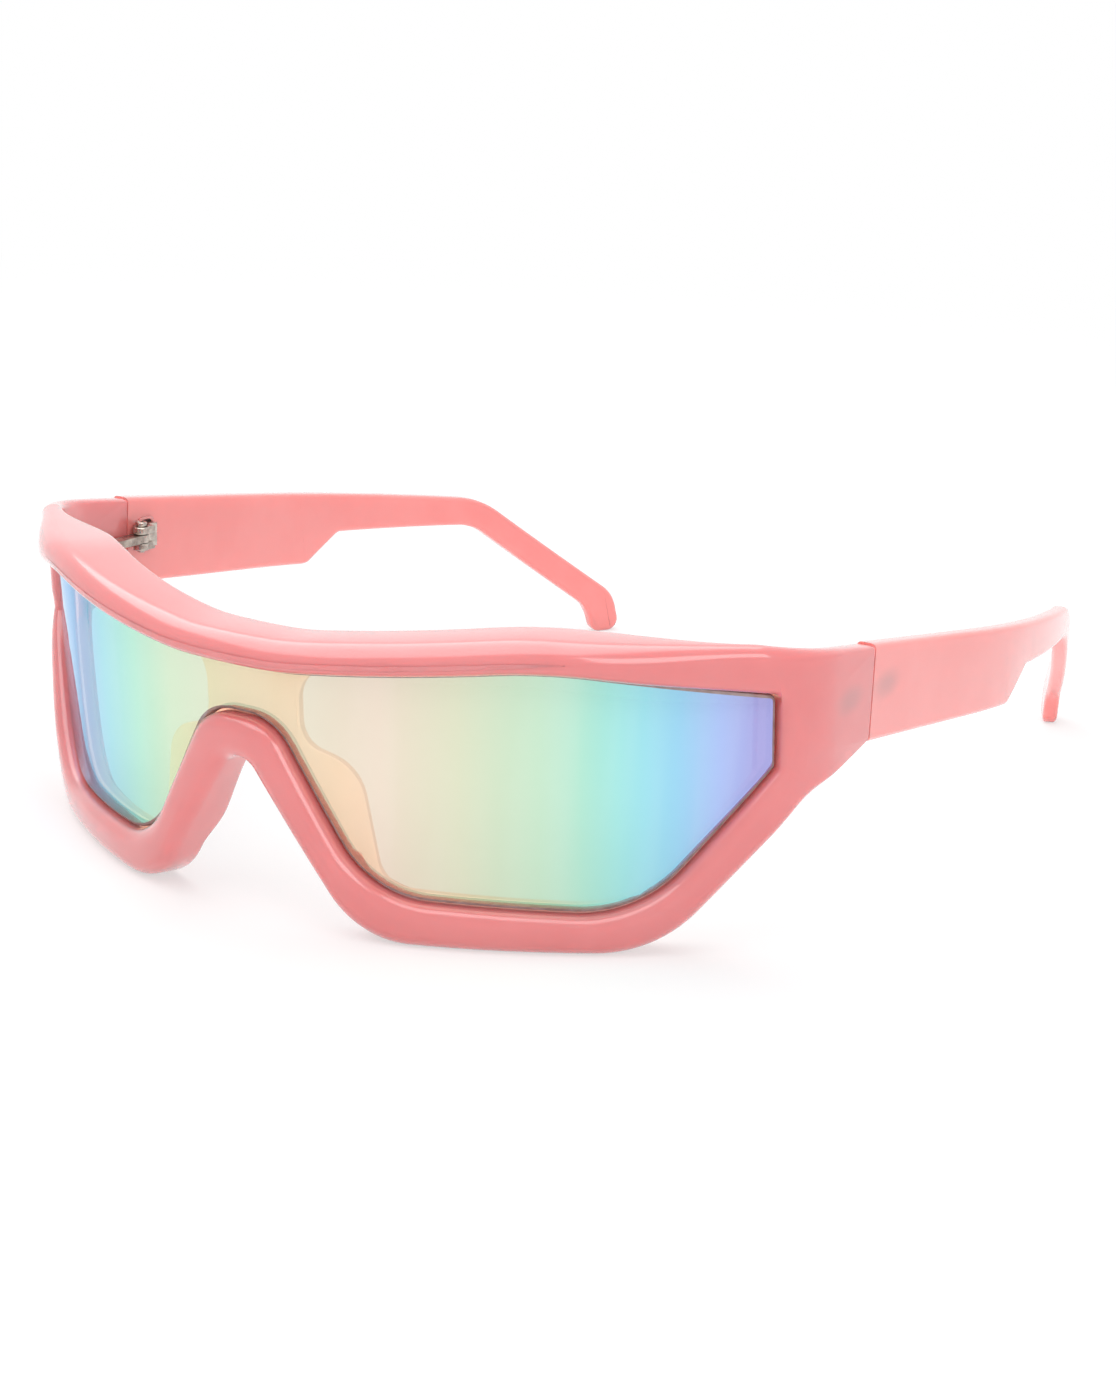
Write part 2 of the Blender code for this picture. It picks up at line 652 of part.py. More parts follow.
def eye_outline():
    """Left eye opening in the web behind the lens."""
    heel = window_heel() - EYE_HEEL_INSET
    side = window_side() - EYE_LEDGE
    return rounded(
        [
            ((EYE_INNER, EYE_SHOULDER_HEIGHT), EYE_SHOULDER_ROUND, 3),
            ((EYE_LEG_TOP, EYE_LEG_TOP_HEIGHT), EYE_LEG_ROUND, 3),
            ((EYE_LEG_FOOT, EYE_SILL), EYE_FOOT_ROUND, 3),
            ((heel, EYE_HEEL_HEIGHT), EYE_HEEL_ROUND, 4),
            ((side, EYE_SIDE_LOW), EYE_SIDE_ROUND, 2),
            ((side, EYE_SIDE_TOP), EYE_SIDE_ROUND, 2),
            ((WINDOW_BROW_RISE, EYE_BROW), BROW_PEAK_ROUND, 3),
            ((EYE_INNER, EYE_TOP), EYE_TOP_ROUND, 3),
        ]
    )


def temple_outline():
    """Side outline of a temple, from the seam along the top to the tip and back."""
    return rounded(
        [
            ((SEAM_GAP, SEAM_TOP), 0.0, 0),
            ((SHOULDER, SHOULDER_HEIGHT), SHOULDER_ROUND, 4),
            ((TIP_BACK, TIP_BACK_HEIGHT), TIP_ROUND, 3),
            ((TIP_END, 0.0), TIP_CORNER_ROUND, 2),
            ((TIP_INNER, 0.0), TIP_CORNER_ROUND, 2),
            ((TIP_FRONT, TIP_FRONT_HEIGHT), TIP_ROUND, 3),
            ((HOOK, HOOK_HEIGHT), HOOK_ROUND, 4),
            ((NOTCH_TOP, NOTCH_TOP_HEIGHT), NOTCH_ROUND, 2),
            ((NOTCH_BOTTOM, NOTCH_BOTTOM_HEIGHT), NOTCH_ROUND, 2),
            ((SEAM_GAP, SEAM_BOTTOM), 0.0, 0),
        ]
    )


def mirrored(bm, sign):
    """Turns a left piece into the one for the given side."""
    if sign < 0.0:
        for vertex in bm.verts:
            vertex.co.x = -vertex.co.x
    return bm


def box(name, low, high, sign=1.0):
    """Box between two corners, given for the left side."""
    bm = bmesh.new()
    bmesh.ops.create_cube(bm, size=1.0)
    size = [b - a for a, b in zip(low, high)]
    middle = [0.5 * (a + b) for a, b in zip(low, high)]
    bmesh.ops.scale(bm, vec=size, verts=bm.verts)
    bmesh.ops.translate(bm, vec=middle, verts=bm.verts)
    return finished(name, mirrored(bm, sign))


def cylinder(name, centre, radius, low, high):
    """Upright cylinder between two heights."""
    bm = bmesh.new()
    bmesh.ops.create_cone(
        bm, cap_ends=True, segments=ROUND_SIDES, radius1=radius, radius2=radius, depth=high - low,
    )
    bmesh.ops.translate(bm, vec=(centre[0], centre[1], 0.5 * (low + high)), verts=bm.verts)
    return finished(name, bm)


def combine(obj, tool, operation):
    """Joins a helper to an object, or cuts it out, and hides the helper."""
    tool.hide_render = True
    tool.display_type = "WIRE"
    modifier = obj.modifiers.new(tool.name, "BOOLEAN")
    modifier.operation = operation
    modifier.object = tool


def dress(obj, finish):
    """Gives an object its own material and smooth round faces."""
    material = bpy.data.materials.new(obj.name)
    material.use_nodes = True
    shader = material.node_tree.nodes["Principled BSDF"]
    shader.inputs["Base Color"].default_value = finish.colour
    shader.inputs["Roughness"].default_value = finish.roughness
    shader.inputs["Metallic"].default_value = finish.metallic
    obj.data.materials.append(material)
    obj.data.shade_smooth()
    obj.data.set_sharp_from_angle(angle=SHARP_ANGLE)


def temple_inside():
    """Distance from the middle plane to the inner face of a lug and of a temple's root."""
    return LUG_OUTSIDE - SEAM_THICKNESS


def temple_block_start():
    """Y where the temple's hinge block starts, clear of the barrels before it."""
    return HINGE_BEHIND_SEAM + BARREL_RADIUS + BLOCK_CLEARANCE


def axis_place(sign):
    """X and Y of a hinge axis, the seam being at Y zero."""
    return sign * (temple_inside() - HINGE_INBOARD), HINGE_BEHIND_SEAM


def knuckle_levels():
    """Lower and upper height of the bottom ear, the leaf and the top ear."""
    leaf_low = HINGE_LEVEL - 0.5 * LEAF_HEIGHT
    leaf_high = HINGE_LEVEL + 0.5 * LEAF_HEIGHT
    return (
        (leaf_low - KNUCKLE_GAP - EAR_HEIGHT, leaf_low - KNUCKLE_GAP),
        (leaf_low, leaf_high),
        (leaf_high + KNUCKLE_GAP, leaf_high + KNUCKLE_GAP + EAR_HEIGHT),
    )


def hinge_pocket(name, start, length, sign):
    """Cutter for the pocket that a hinge's root sits in, with its clearance."""
    bottom, _, top = knuckle_levels()
    low = (
        temple_inside() - CUTTER_OVERRUN,
        start - ROOT_CLEARANCE,
        bottom[0] - ROOT_CLEARANCE,
    )
    high = (
        temple_inside() + ROOT_DEPTH + ROOT_CLEARANCE,
        start + length + ROOT_CLEARANCE,
        top[1] + ROOT_CLEARANCE,
    )
    return box(name, low, high, sign)


def make_front_frame():
    """One-piece front: rim, brow, lugs and nose, with the web and eye openings behind the lens."""
    frame = ring_body("front_frame")
    near = LENS_THICKNESS + LENS_CLEARANCE
    web = slab(inset_window(WEB_ROOT), near, near + WEB_THICKNESS, 0.0, 0)
    wrap(web, front_point)
    web = finished("web", web)
    for side in SIDES:
        outline = [(side.sign * along, height) for along, height in eye_outline()]
        opening = slab(outline, near - WEB_CUT_OVERRUN, near + WEB_THICKNESS + WEB_CUT_OVERRUN, 0.0, 0)
        wrap(opening, front_point)
        combine(web, finished("eye_opening_" + side.name, opening), "DIFFERENCE")
    combine(frame, web, "UNION")
    for side in SIDES:
        pocket = hinge_pocket(
            "front_pocket_" + side.name, -FRONT_BLOCK_BEFORE_SEAM, FRONT_BLOCK_LENGTH, side.sign,
        )
        combine(frame, pocket, "DIFFERENCE")
    dress(frame, PINK_PLASTIC)
    return frame


def make_lens():
    """Shield lens, cut to the window with a clearance all round."""
    outline = parallel_inset(inset_window(0.0), LENS_CLEARANCE)
    bm = slab(outline, 0.0, LENS_THICKNESS, LENS_CHAMFER, 1)
    wrap(bm, front_point)
    lens = finished("shield_lens", bm)
    dress(lens, MIRROR_LENS)
    return lens


def make_temple(side):
    """One temple: a bowed arm with a notch, a hook and a pocket for its hinge."""
    bm = slab(temple_outline(), 0.0, SEAM_THICKNESS, TEMPLE_EDGE_ROUND, EDGE_STEPS)
    for vertex in bm.verts:
        taper = TEMPLE_TAPER * vertex.co.x / TIP_END
        vertex.co.y *= 1.0 - taper / SEAM_THICKNESS
    wrap(bm, temple_point)
    temple = finished("temple_" + side.name, mirrored(bm, side.sign))
    pocket = hinge_pocket(
        "temple_pocket_" + side.name, temple_block_start(), TEMPLE_BLOCK_LENGTH, side.sign,
    )
    combine(temple, pocket, "DIFFERENCE")
    dress(temple, PINK_PLASTIC)
    return temple, pocket


def screw_hole(name, side):
    """Cutter for the hole that a hinge screw turns in."""
    bottom, _, top = knuckle_levels()
    return cylinder(
        name, axis_place(side.sign), SCREW_RADIUS + SCREW_CLEARANCE,
        bottom[0] - CUTTER_OVERRUN, top[1] + CUTTER_OVERRUN,
    )


def make_front_hinge(side):
    """Front half of a hinge: a block let into the lug, and a leaf that ends in the middle knuckle."""
    bottom, leaf, top = knuckle_levels()
    inside = temple_inside()
    block_start = -FRONT_BLOCK_BEFORE_SEAM
    block_end = block_start + FRONT_BLOCK_LENGTH
    hinge = box(
        "front_hinge_" + side.name,
        (inside - HINGE_PROUD, block_start, bottom[0]),
        (inside + ROOT_DEPTH, block_end, top[1]),
        side.sign,
    )
    cap = hinge.modifiers.new("cap", "BEVEL")
    cap.width = HINGE_CAP_ROUND
    cap.segments = CAP_STEPS
    cap.limit_method = "WEIGHT"
    weights = hinge.data.attributes.new("bevel_weight_edge", "FLOAT", "EDGE")
    for edge in hinge.data.edges:
        ends = [hinge.data.vertices[index].co for index in edge.vertices]
        upright = abs(ends[0].z - ends[1].z) > TINY
        at_front = max(end.y for end in ends) < block_start + TINY
        proud = max(abs(end.x) for end in ends) < inside
        weights.data[edge.index].value = 1.0 if upright and at_front and proud else 0.0
    across, behind = axis_place(1.0)
    arm = box(
        "leaf_arm_" + side.name,
        (across - 0.5 * LEAF_THICKNESS, block_end - LEAF_OVERLAP, leaf[0]),
        (across + 0.5 * LEAF_THICKNESS, behind, leaf[1]),
        side.sign,
    )
    combine(hinge, arm, "UNION")
    barrel = cylinder("leaf_barrel_" + side.name, axis_place(side.sign), BARREL_RADIUS, leaf[0], leaf[1])
    combine(hinge, barrel, "UNION")
    combine(hinge, screw_hole("leaf_hole_" + side.name, side), "DIFFERENCE")
    dress(hinge, STEEL)
    return hinge


def make_temple_hinge(side):
    """Temple half of a hinge: a block let into the temple, with an ear above and below the leaf."""
    bottom, _, top = knuckle_levels()
    across, behind = axis_place(1.0)
    block_start = temple_block_start()
    block_end = block_start + TEMPLE_BLOCK_LENGTH
    hinge = box(
        "temple_hinge_" + side.name,
        (across, block_start, bottom[0]),
        (temple_inside() + ROOT_DEPTH, block_end, top[1]),
        side.sign,
    )
    helpers = []
    for label, (low, high) in (("low", bottom), ("high", top)):
        name = label + "_ear_" + side.name
        ear = box(
            name,
            (across - 0.5 * LEAF_THICKNESS, behind, low),
            (across + 0.5 * LEAF_THICKNESS, block_start + LEAF_OVERLAP, high),
            side.sign,
        )
        barrel = cylinder(name + "_barrel", axis_place(side.sign), BARREL_RADIUS, low, high)
        combine(hinge, ear, "UNION")
        combine(hinge, barrel, "UNION")
        helpers += [ear, barrel]
    hole = screw_hole("ear_hole_" + side.name, side)
    combine(hinge, hole, "DIFFERENCE")
    dress(hinge, STEEL)
    return hinge, helpers + [hole]


def make_screw(side):
    """Hinge screw, turned from a profile, with a cross slot in its head."""
    bottom, _, top = knuckle_levels()
    across, behind = axis_place(side.sign)
    head_low = top[1] + KNUCKLE_GAP
    head_high = head_low + SCREW_HEAD_HEIGHT
    end = bottom[0] - SCREW_END
    profile = (
        (0.0, end),
        (SCREW_RADIUS - SCREW_CHAMFER, end),
        (SCREW_RADIUS, end + SCREW_CHAMFER),
        (SCREW_RADIUS, head_low),
        (SCREW_HEAD_RADIUS, head_low),
        (SCREW_HEAD_RADIUS, head_high - SCREW_CHAMFER),
        (SCREW_HEAD_RADIUS - SCREW_CHAMFER, head_high),
        (0.0, head_high),
    )
    bm = bmesh.new()
    line = [bm.verts.new((radius, 0.0, height)) for radius, height in profile]
    edges = [bm.edges.new(pair) for pair in zip(line, line[1:])]
    bmesh.ops.spin(
        bm, geom=line + edges, cent=(0.0, 0.0, 0.0), axis=(0.0, 0.0, 1.0),
        angle=2.0 * math.pi, steps=ROUND_SIDES, use_merge=True,
    )
    bmesh.ops.remove_doubles(bm, verts=bm.verts, dist=TINY)
    bmesh.ops.translate(bm, vec=(across, behind, 0.0), verts=bm.verts)
    screw = finished("hinge_screw_" + side.name, bm)
    helpers = []
    reach = SCREW_HEAD_RADIUS + CUTTER_OVERRUN
    half = 0.5 * SLOT_WIDTH
    for label, wide, deep in (("across", reach, half), ("along", half, reach)):
        slot = box(
            "slot_" + label + "_" + side.name,
            (across - wide, behind - deep, head_high - SLOT_DEPTH),
            (across + wide, behind + deep, head_high + CUTTER_OVERRUN),
        )
        combine(screw, slot, "DIFFERENCE")
        helpers.append(slot)
    dress(screw, STEEL)
    return screw, helpers


def empty(name, place, parent):
    """Named point that pieces are hung on."""
    obj = bpy.data.objects.new(name, None)
    obj.location = place
    obj.parent = parent
    bpy.context.scene.collection.objects.link(obj)
    return obj


def hang(obj, parent, place):
    """Hangs a piece on an empty, with the piece's own origin on the empty."""
    for vertex in obj.data.vertices:
        vertex.co -= place
    obj.parent = parent


def world_box():
    """Lowest and highest corner of every solid that shows."""
    bpy.context.view_layer.update()
    graph = bpy.context.evaluated_depsgraph_get()
    corners = []
    for obj in bpy.context.scene.objects:
        if obj.type == "MESH" and not obj.hide_render:
            made = obj.evaluated_get(graph)
            corners += [made.matrix_world @ Vector(corner) for corner in made.bound_box]
    low = [min(corner[axis] for corner in corners) for axis in range(3)]
    high = [max(corner[axis] for corner in corners) for axis in range(3)]
    return low, high


def main():
    for obj in list(bpy.data.objects):
        bpy.data.objects.remove(obj)
    root = empty("sunglasses", (0.0, 0.0, 0.0), None)
    make_front_frame()
    make_lens()
    for side in SIDES:
        make_front_hinge(side)
    for obj in bpy.context.scene.objects:
        if obj.type == "MESH":
            obj.parent = root
    for side in SIDES:
        across, behind = axis_place(side.sign)
        place = Vector((across, behind, HINGE_LEVEL))
        pivot = empty("temple_pivot_" + side.name, place, root)
        temple, pocket = make_temple(side)
        hinge, hinge_helpers = make_temple_hinge(side)
        screw, screw_helpers = make_screw(side)
        for obj in [temple, pocket, hinge, screw] + hinge_helpers + screw_helpers:
            hang(obj, pivot, place)
    low, high = world_box()
    root.location = (-0.5 * (low[0] + high[0]), -0.5 * (low[1] + high[1]), -low[2])
    low, high = world_box()
    print("box", [round(v / MM, 3) for v in low], [round(v / MM, 3) for v in high])
    for side in SIDES:
        pivot = bpy.data.objects["temple_pivot_" + side.name]
        print(pivot.name, [round(v / MM, 4) for v in pivot.matrix_world.translation])


main()
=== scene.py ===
"""Wraparound sunglasses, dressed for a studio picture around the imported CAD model.

The front is drawn as a flat pattern and then wrapped on its plan curve. A place on the pattern is
(along, height): along is the distance from the middle of the nose, measured round the curve of the
lens face, and height is above the table. Depth is measured from the lens face towards the wearer.
X is to the wearer's left, Y towards the back and Z up.
"""

import json
import logging
import math
from collections.abc import Callable
from dataclasses import dataclass, field
from enum import Enum
from functools import reduce

import bmesh
import bpy
from bmesh.types import BMEdge, BMesh, BMVert
from bpy.types import Material
from mathutils import Matrix, Vector


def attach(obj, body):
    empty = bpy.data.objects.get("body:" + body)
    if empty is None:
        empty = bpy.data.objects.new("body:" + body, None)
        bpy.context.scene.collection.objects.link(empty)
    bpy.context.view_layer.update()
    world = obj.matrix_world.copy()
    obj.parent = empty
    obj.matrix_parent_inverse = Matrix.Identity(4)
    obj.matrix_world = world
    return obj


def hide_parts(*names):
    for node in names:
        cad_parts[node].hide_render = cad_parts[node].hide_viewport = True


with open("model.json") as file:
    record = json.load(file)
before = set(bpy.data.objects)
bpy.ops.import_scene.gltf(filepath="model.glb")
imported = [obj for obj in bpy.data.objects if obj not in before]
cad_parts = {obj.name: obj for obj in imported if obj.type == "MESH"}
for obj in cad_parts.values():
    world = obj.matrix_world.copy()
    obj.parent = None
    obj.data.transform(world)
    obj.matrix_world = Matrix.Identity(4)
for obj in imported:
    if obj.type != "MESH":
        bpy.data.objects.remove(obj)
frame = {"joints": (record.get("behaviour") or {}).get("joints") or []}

Place = tuple[float, float]
Triple = tuple[float, float, float]
Colour = Triple
Wrap = Callable[[float, float, float], Vector]

MM = 0.001
TINY = 0.0005 * MM
SHARP_ANGLE = math.radians(32.0)
FLAT_ANGLE = 0.01
ROUND_SEGMENTS = 48
LUG_OUTSIDE = 70.0 * MM
SEAM_TOP = 42.2 * MM
SEAM_BOTTOM = 27.7 * MM
TEMPLE_ROOT = 3.2 * MM
HINGE_BEHIND_SEAM = 1.7 * MM
HINGE_LEVEL = 35.5 * MM
METAL_ACROSS = 69.0 * MM
METAL_BEHIND_SEAM = (-6.5 * MM, 4.6 * MM)
WHITE: Colour = (1.0, 1.0, 1.0)

log = logging.getLogger("sunglasses")


class Side(Enum):
    """The wearer's left and right, with the sign of X on that side."""

    LEFT = 1.0
    RIGHT = -1.0

    @property
    def word(self) -> str:
        """The side's word in node names."""
        return self.name.lower()


class WebFace(Enum):
    """The surfaces of the web behind the lens, in the order of its material slots."""

    WEARER_SIDE = 0
    LENS_SIDE = 1
    OPENING = 2


class Coat(Enum):
    """The surfaces of the lens, in the order of its material slots."""

    MIRROR = 0
    CUT_EDGE = 1
    TINT = 2


def linear(red: int, green: int, blue: int) -> Colour:
    """Turns a colour as a screen shows it, each channel from 0 to 255, into the renderer's linear one."""
    shares = [channel / 255.0 for channel in (red, green, blue)]
    return tuple(
        share / 12.92 if share <= 0.04045 else ((share + 0.055) / 1.055) ** 2.4 for share in shares
    )


def eased(share: float) -> float:
    """Turns an even share into one that starts and ends slowly."""
    return share * share * (3.0 - 2.0 * share)


class Shade:
    """A shader socket that Python sums can be written on; each sum adds its Math node."""

    def __init__(self, sheet: "NodeSheet", socket: bpy.types.NodeSocket | None) -> None:
        """Keeps the socket and the sheet that holds its node."""
        self.sheet = sheet
        self.socket = socket

    def output(self, name: str) -> "Shade":
        """Another output of the same node."""
        return Shade(self.sheet, self.socket.node.outputs[name])

    def sum_node(self, operation: str, other: "Shade | float") -> "Shade":
        """The result of a Math node on this and the other."""
        return self.sheet.node("ShaderNodeMath", {"operation": operation}, {0: self, 1: other})

    def __add__(self, other: "Shade | float") -> "Shade":
        """This plus the other."""
        return self.sum_node("ADD", other)

    def __mul__(self, other: "Shade | float") -> "Shade":
        """This times the other."""
        return self.sum_node("MULTIPLY", other)

    __radd__ = __add__
    __rmul__ = __mul__

    def highest(self, other: "Shade | float") -> "Shade":
        """The higher of this and the other."""
        return self.sum_node("MAXIMUM", other)

    def unsigned(self) -> "Shade":
        """This without its sign."""
        return self.highest(-1.0 * self)


class NodeSheet:
    """The node tree of one material or of the world."""

    def __init__(self, tree: bpy.types.NodeTree) -> None:
        """Clears the tree to start from nothing."""
        tree.nodes.clear()
        self.tree = tree

    def node(self, kind: str, settings: dict | None = None, values: dict | None = None,
             result: int | str = 0) -> Shade:
        """Adds a node.

        Args:
            kind: The node's type.
            settings: Its settings, which are set first. "stops" gives a ramp's (position, colour) pairs.
            values: A value or a link for each of its sockets, by name or number.
            result: The output that is handed back.

        Returns:
            That output.
        """
        made = self.tree.nodes.new(kind)
        for name, setting in (settings or {}).items():
            if name == "stops":
                self.set_stops(made.color_ramp, setting)
            else:
                setattr(made, name, setting)
        for name, value in (values or {}).items():
            if isinstance(value, Shade):
                self.tree.links.new(value.socket, made.inputs[name])
            else:
                made.inputs[name].default_value = value
        return Shade(self, made.outputs[result] if made.outputs else None)

    @staticmethod
    def set_stops(ramp: bpy.types.ColorRamp, stops: list[tuple[float, Colour]]) -> None:
        """Gives a ramp its stops, first to last."""
        while len(ramp.elements) > 1:
            ramp.elements.remove(ramp.elements[-1])
        for number, (position, colour) in enumerate(stops):
            stop = ramp.elements[0] if number == 0 else ramp.elements.new(position)
            stop.position = position
            stop.color = (*colour, 1.0)

    def object_place(self) -> Shade:
        """Coordinates on the piece, in metres."""
        return self.node("ShaderNodeTexCoord", result="Object")

    def grain(self, scale: float, detail: float = 3.0, stretch: Triple = (1.0, 1.0, 1.0)) -> Shade:
        """A fine even noise.

        Args:
            scale: Grains to the metre.
            detail: Layers of finer noise on top.
            stretch: How much denser the grain is along each axis.

        Returns:
            The noise, about 0.5 in the middle.
        """
        place = self.node("ShaderNodeMapping", values={"Vector": self.object_place(), "Scale": stretch})
        return self.node("ShaderNodeTexNoise", values={"Vector": place, "Scale": scale, "Detail": detail})

    def between(self, value: Shade, low: float, high: float, from_value: float = 0.0,
                to_value: float = 1.0) -> Shade:
        """Carries a value smoothly from one range to another.

        Args:
            value: The value.
            low: Where the range starts.
            high: Where it ends.
            from_value: The result at the start.
            to_value: The result at the end.

        Returns:
            The result.
        """
        settings = {"interpolation_type": "SMOOTHSTEP"}
        values = {0: value, 1: low, 2: high, 3: from_value, 4: to_value}
        return self.node("ShaderNodeMapRange", settings, values)

    def mixed(self, share: Shade, first: Shade | Colour, second: Shade | Colour) -> Shade:
        """Mixes two colours.

        Args:
            share: How much of the second shows.
            first: The first colour.
            second: The second colour.

        Returns:
            The mixed colour.
        """
        first = first if isinstance(first, Shade) else (*first, 1.0)
        second = second if isinstance(second, Shade) else (*second, 1.0)
        values = {0: share, 6: first, 7: second}
        return self.node("ShaderNodeMix", {"data_type": "RGBA"}, values, result=2)

    def bump(self, height: Shade, strength: float, distance: float) -> Shade:
        """A normal that follows a fine relief."""
        values = {"Strength": strength, "Distance": distance, "Height": height}
        return self.node("ShaderNodeBump", values=values)

    def surface(self, shader: Shade) -> None:
        """Links a shader to the material's output."""
        self.node("ShaderNodeOutputMaterial", values={"Surface": shader})

    def principled(self, values: dict, settings: dict | None = None) -> None:
        """Links a Principled shader with these values to the material's output."""
        self.surface(self.node("ShaderNodeBsdfPrincipled", settings, values))


def blank_material(name: str) -> tuple[Material, NodeSheet]:
    """Starts a material with no nodes."""
    material = bpy.data.materials.new(name)
    material.use_nodes = True
    return material, NodeSheet(material.node_tree)


@dataclass(frozen=True)
class TranslucentPlastic:
    """Polished milky plastic, in which the hinge metal shows as a grey shade."""

    name: str = "pink_plastic"
    colour: Colour = linear(226, 125, 125)
    cloudy_colour: Colour = linear(223, 120, 120)
    metal_shade: Colour = linear(172, 122, 122)
    metal_share: float = 0.5
    metal_core: float = 0.8 * MM
    metal_reach: float = 5.5 * MM
    metal_squash: float = 1.9
    roughness: float = 0.1
    rough_spread: float = 0.05
    scatter_share: float = 0.75
    scatter_depth: float = 3.5 * MM
    scatter_reach: Colour = (1.0, 0.28, 0.24)
    ior: float = 1.49
    gloss_coat: float = 1.0
    coat_roughness: float = 0.22
    cloud_scale: float = 60.0
    cloud_range: Place = (0.35, 0.65)
    fine_scale: float = 1120.0
    ripple_scale: float = 140.0
    ripple_strength: float = 0.25
    ripple_height: float = 0.02 * MM

    def metal_seen(self, sheet: NodeSheet, metal: list[Vector]) -> Shade:
        """How much of the hinge metal shows through the plastic at each place.

        Args:
            sheet: The material's nodes.
            metal: Where the metal sits on the wearer's left; the right is alike.

        Returns:
            The share of the metal's shade.
        """
        parts = sheet.node("ShaderNodeSeparateXYZ", values={0: sheet.object_place()})
        height = self.metal_squash * parts.output("Z")
        values = {"X": parts.unsigned(), "Y": parts.output("Y"), "Z": height}
        place = sheet.node("ShaderNodeCombineXYZ", values=values)
        shares = []
        for spot in metal:
            ends = {0: place, 1: (spot.x, spot.y, spot.z * self.metal_squash)}
            away = sheet.node("ShaderNodeVectorMath", {"operation": "DISTANCE"}, ends, "Value")
            shares.append(sheet.between(away, self.metal_core, self.metal_reach, self.metal_share, 0.0))
        return reduce(Shade.highest, shares)

    def make(self, metal: list[Vector]) -> Material:
        """Makes the material, with hinge metal showing at these places."""
        material, sheet = blank_material(self.name)
        cloud = sheet.between(sheet.grain(self.cloud_scale), *self.cloud_range)
        colour = sheet.mixed(cloud, self.colour, self.cloudy_colour)
        ripple = sheet.grain(self.ripple_scale, detail=1.0)
        sheet.principled({
            "Base Color": sheet.mixed(self.metal_seen(sheet, metal), colour, self.metal_shade),
            "Roughness": self.roughness + self.rough_spread * sheet.grain(self.fine_scale),
            "Normal": sheet.bump(ripple, self.ripple_strength, self.ripple_height),
            "IOR": self.ior,
            "Coat Weight": self.gloss_coat,
            "Coat Roughness": self.coat_roughness,
            "Subsurface Weight": self.scatter_share,
            "Subsurface Radius": self.scatter_reach,
            "Subsurface Scale": self.scatter_depth,
        }, {"subsurface_method": "BURLEY"})
        return material


@dataclass(frozen=True)
class PaintedBacklitPlastic:
    """The web's faces near the lens: the pink plastic painted peach and made to glow, as painted light for
    the warm light that the lens lets through.
    """

    name: str
    colour: Colour = linear(255, 213, 188)
    warm_colour: Colour = linear(255, 205, 174)
    glow: float = 0.75
    roughness: float = 0.4
    rough_spread: float = 0.05
    cloud_scale: float = 80.0
    cloud_range: Place = (0.3, 0.7)

    def make(self) -> Material:
        """Makes the material."""
        material, sheet = blank_material(self.name)
        cloud = sheet.between(sheet.grain(self.cloud_scale), *self.cloud_range)
        colour = sheet.mixed(cloud, self.colour, self.warm_colour)
        # Painted light: the peach colour and its glow stand in for the light that the lens lets through.
        sheet.principled({
            "Base Color": colour,
            "Emission Color": colour,
            "Emission Strength": self.glow,
            "Roughness": self.roughness + self.rough_spread * cloud,
        })
        return material


@dataclass(frozen=True)
class MirrorCoat:
    """The rainbow mirror coat on the face of the lens, whose colour turns across its width.

    The light that shows through the coat from behind is taken off each seen colour.
    """

    name: str = "lens_mirror"
    half_width: float = 66.0 * MM
    roughness: float = 0.03
    rough_spread: float = 0.02
    fine_scale: float = 900.0
    metallic: float = 0.85
    mirror_share: float = 0.72
    end_share: float = 0.96
    end_fade: Place = (41.0 * MM, 49.5 * MM)
    light_behind: float = 1.05
    haze: float = 0.045
    streak_share: float = 0.05
    streak_scale: float = 120.0
    streak_stretch: Triple = (1.0, 1.0, 0.05)
    streak_range: Place = (0.4, 0.6)
    edge_tint: Colour = (0.57, 0.84, 1.0)

    def seen_bands(self) -> list[tuple[float, Colour]]:
        """The colours that the lens shows, by their distance from its middle in mm, right to left."""
        return [
            (-63.0, linear(190, 190, 234)), (-55.0, linear(196, 200, 238)), (-47.0, linear(190, 206, 240)),
            (-40.0, linear(189, 220, 244)), (-32.0, linear(187, 235, 237)), (-22.5, linear(198, 242, 221)),
            (-13.6, linear(220, 240, 212)), (0.0, linear(232, 234, 212)), (21.0, linear(242, 228, 211)),
            (31.0, linear(228, 232, 207)), (40.5, linear(205, 236, 210)), (45.0, linear(189, 236, 217)),
            (49.0, linear(174, 234, 230)), (52.0, linear(166, 228, 239)), (55.4, linear(166, 217, 244)),
            (59.5, linear(176, 197, 246)), (63.0, linear(181, 181, 232)),
        ]

    def share_at(self, across: float) -> float:
        """How solid the coat is at a distance from the middle."""
        start, end = self.end_fade
        step = min(1.0, max(0.0, (abs(across) - start) / (end - start)))
        return self.mirror_share + (self.end_share - self.mirror_share) * eased(step)

    def stops(self) -> list[tuple[float, Colour]]:
        """Ramp stops: the coat's own colours, which give the seen ones over the light behind."""
        stops = []
        for across, seen in self.seen_bands():
            share = self.share_at(across * MM)
            through = (1.0 - share) * self.light_behind
            coat = tuple(max(0.0, (channel - through) / share - self.haze) for channel in seen)
            stops.append((0.5 + 0.5 * across * MM / self.half_width, coat))
        return stops

    def make(self) -> Material:
        """Makes the material."""
        material, sheet = blank_material(self.name)
        across = sheet.node("ShaderNodeSeparateXYZ", values={0: sheet.object_place()})
        share = 0.5 + across * (0.5 / self.half_width)
        colour = sheet.node("ShaderNodeValToRGB", {"stops": self.stops()}, {0: share})
        streak = sheet.grain(self.streak_scale, 2.0, self.streak_stretch)
        streak = self.streak_share * sheet.between(streak, *self.streak_range)
        ends = sheet.between(across.unsigned(), *self.end_fade, self.mirror_share, self.end_share)
        sheet.principled({
            "Base Color": sheet.mixed(streak, colour, WHITE),
            "Roughness": self.roughness + self.rough_spread * sheet.grain(self.fine_scale),
            "Metallic": self.metallic,
            "Specular Tint": (*self.edge_tint, 1.0),
            "Alpha": ends,
        })
        return material


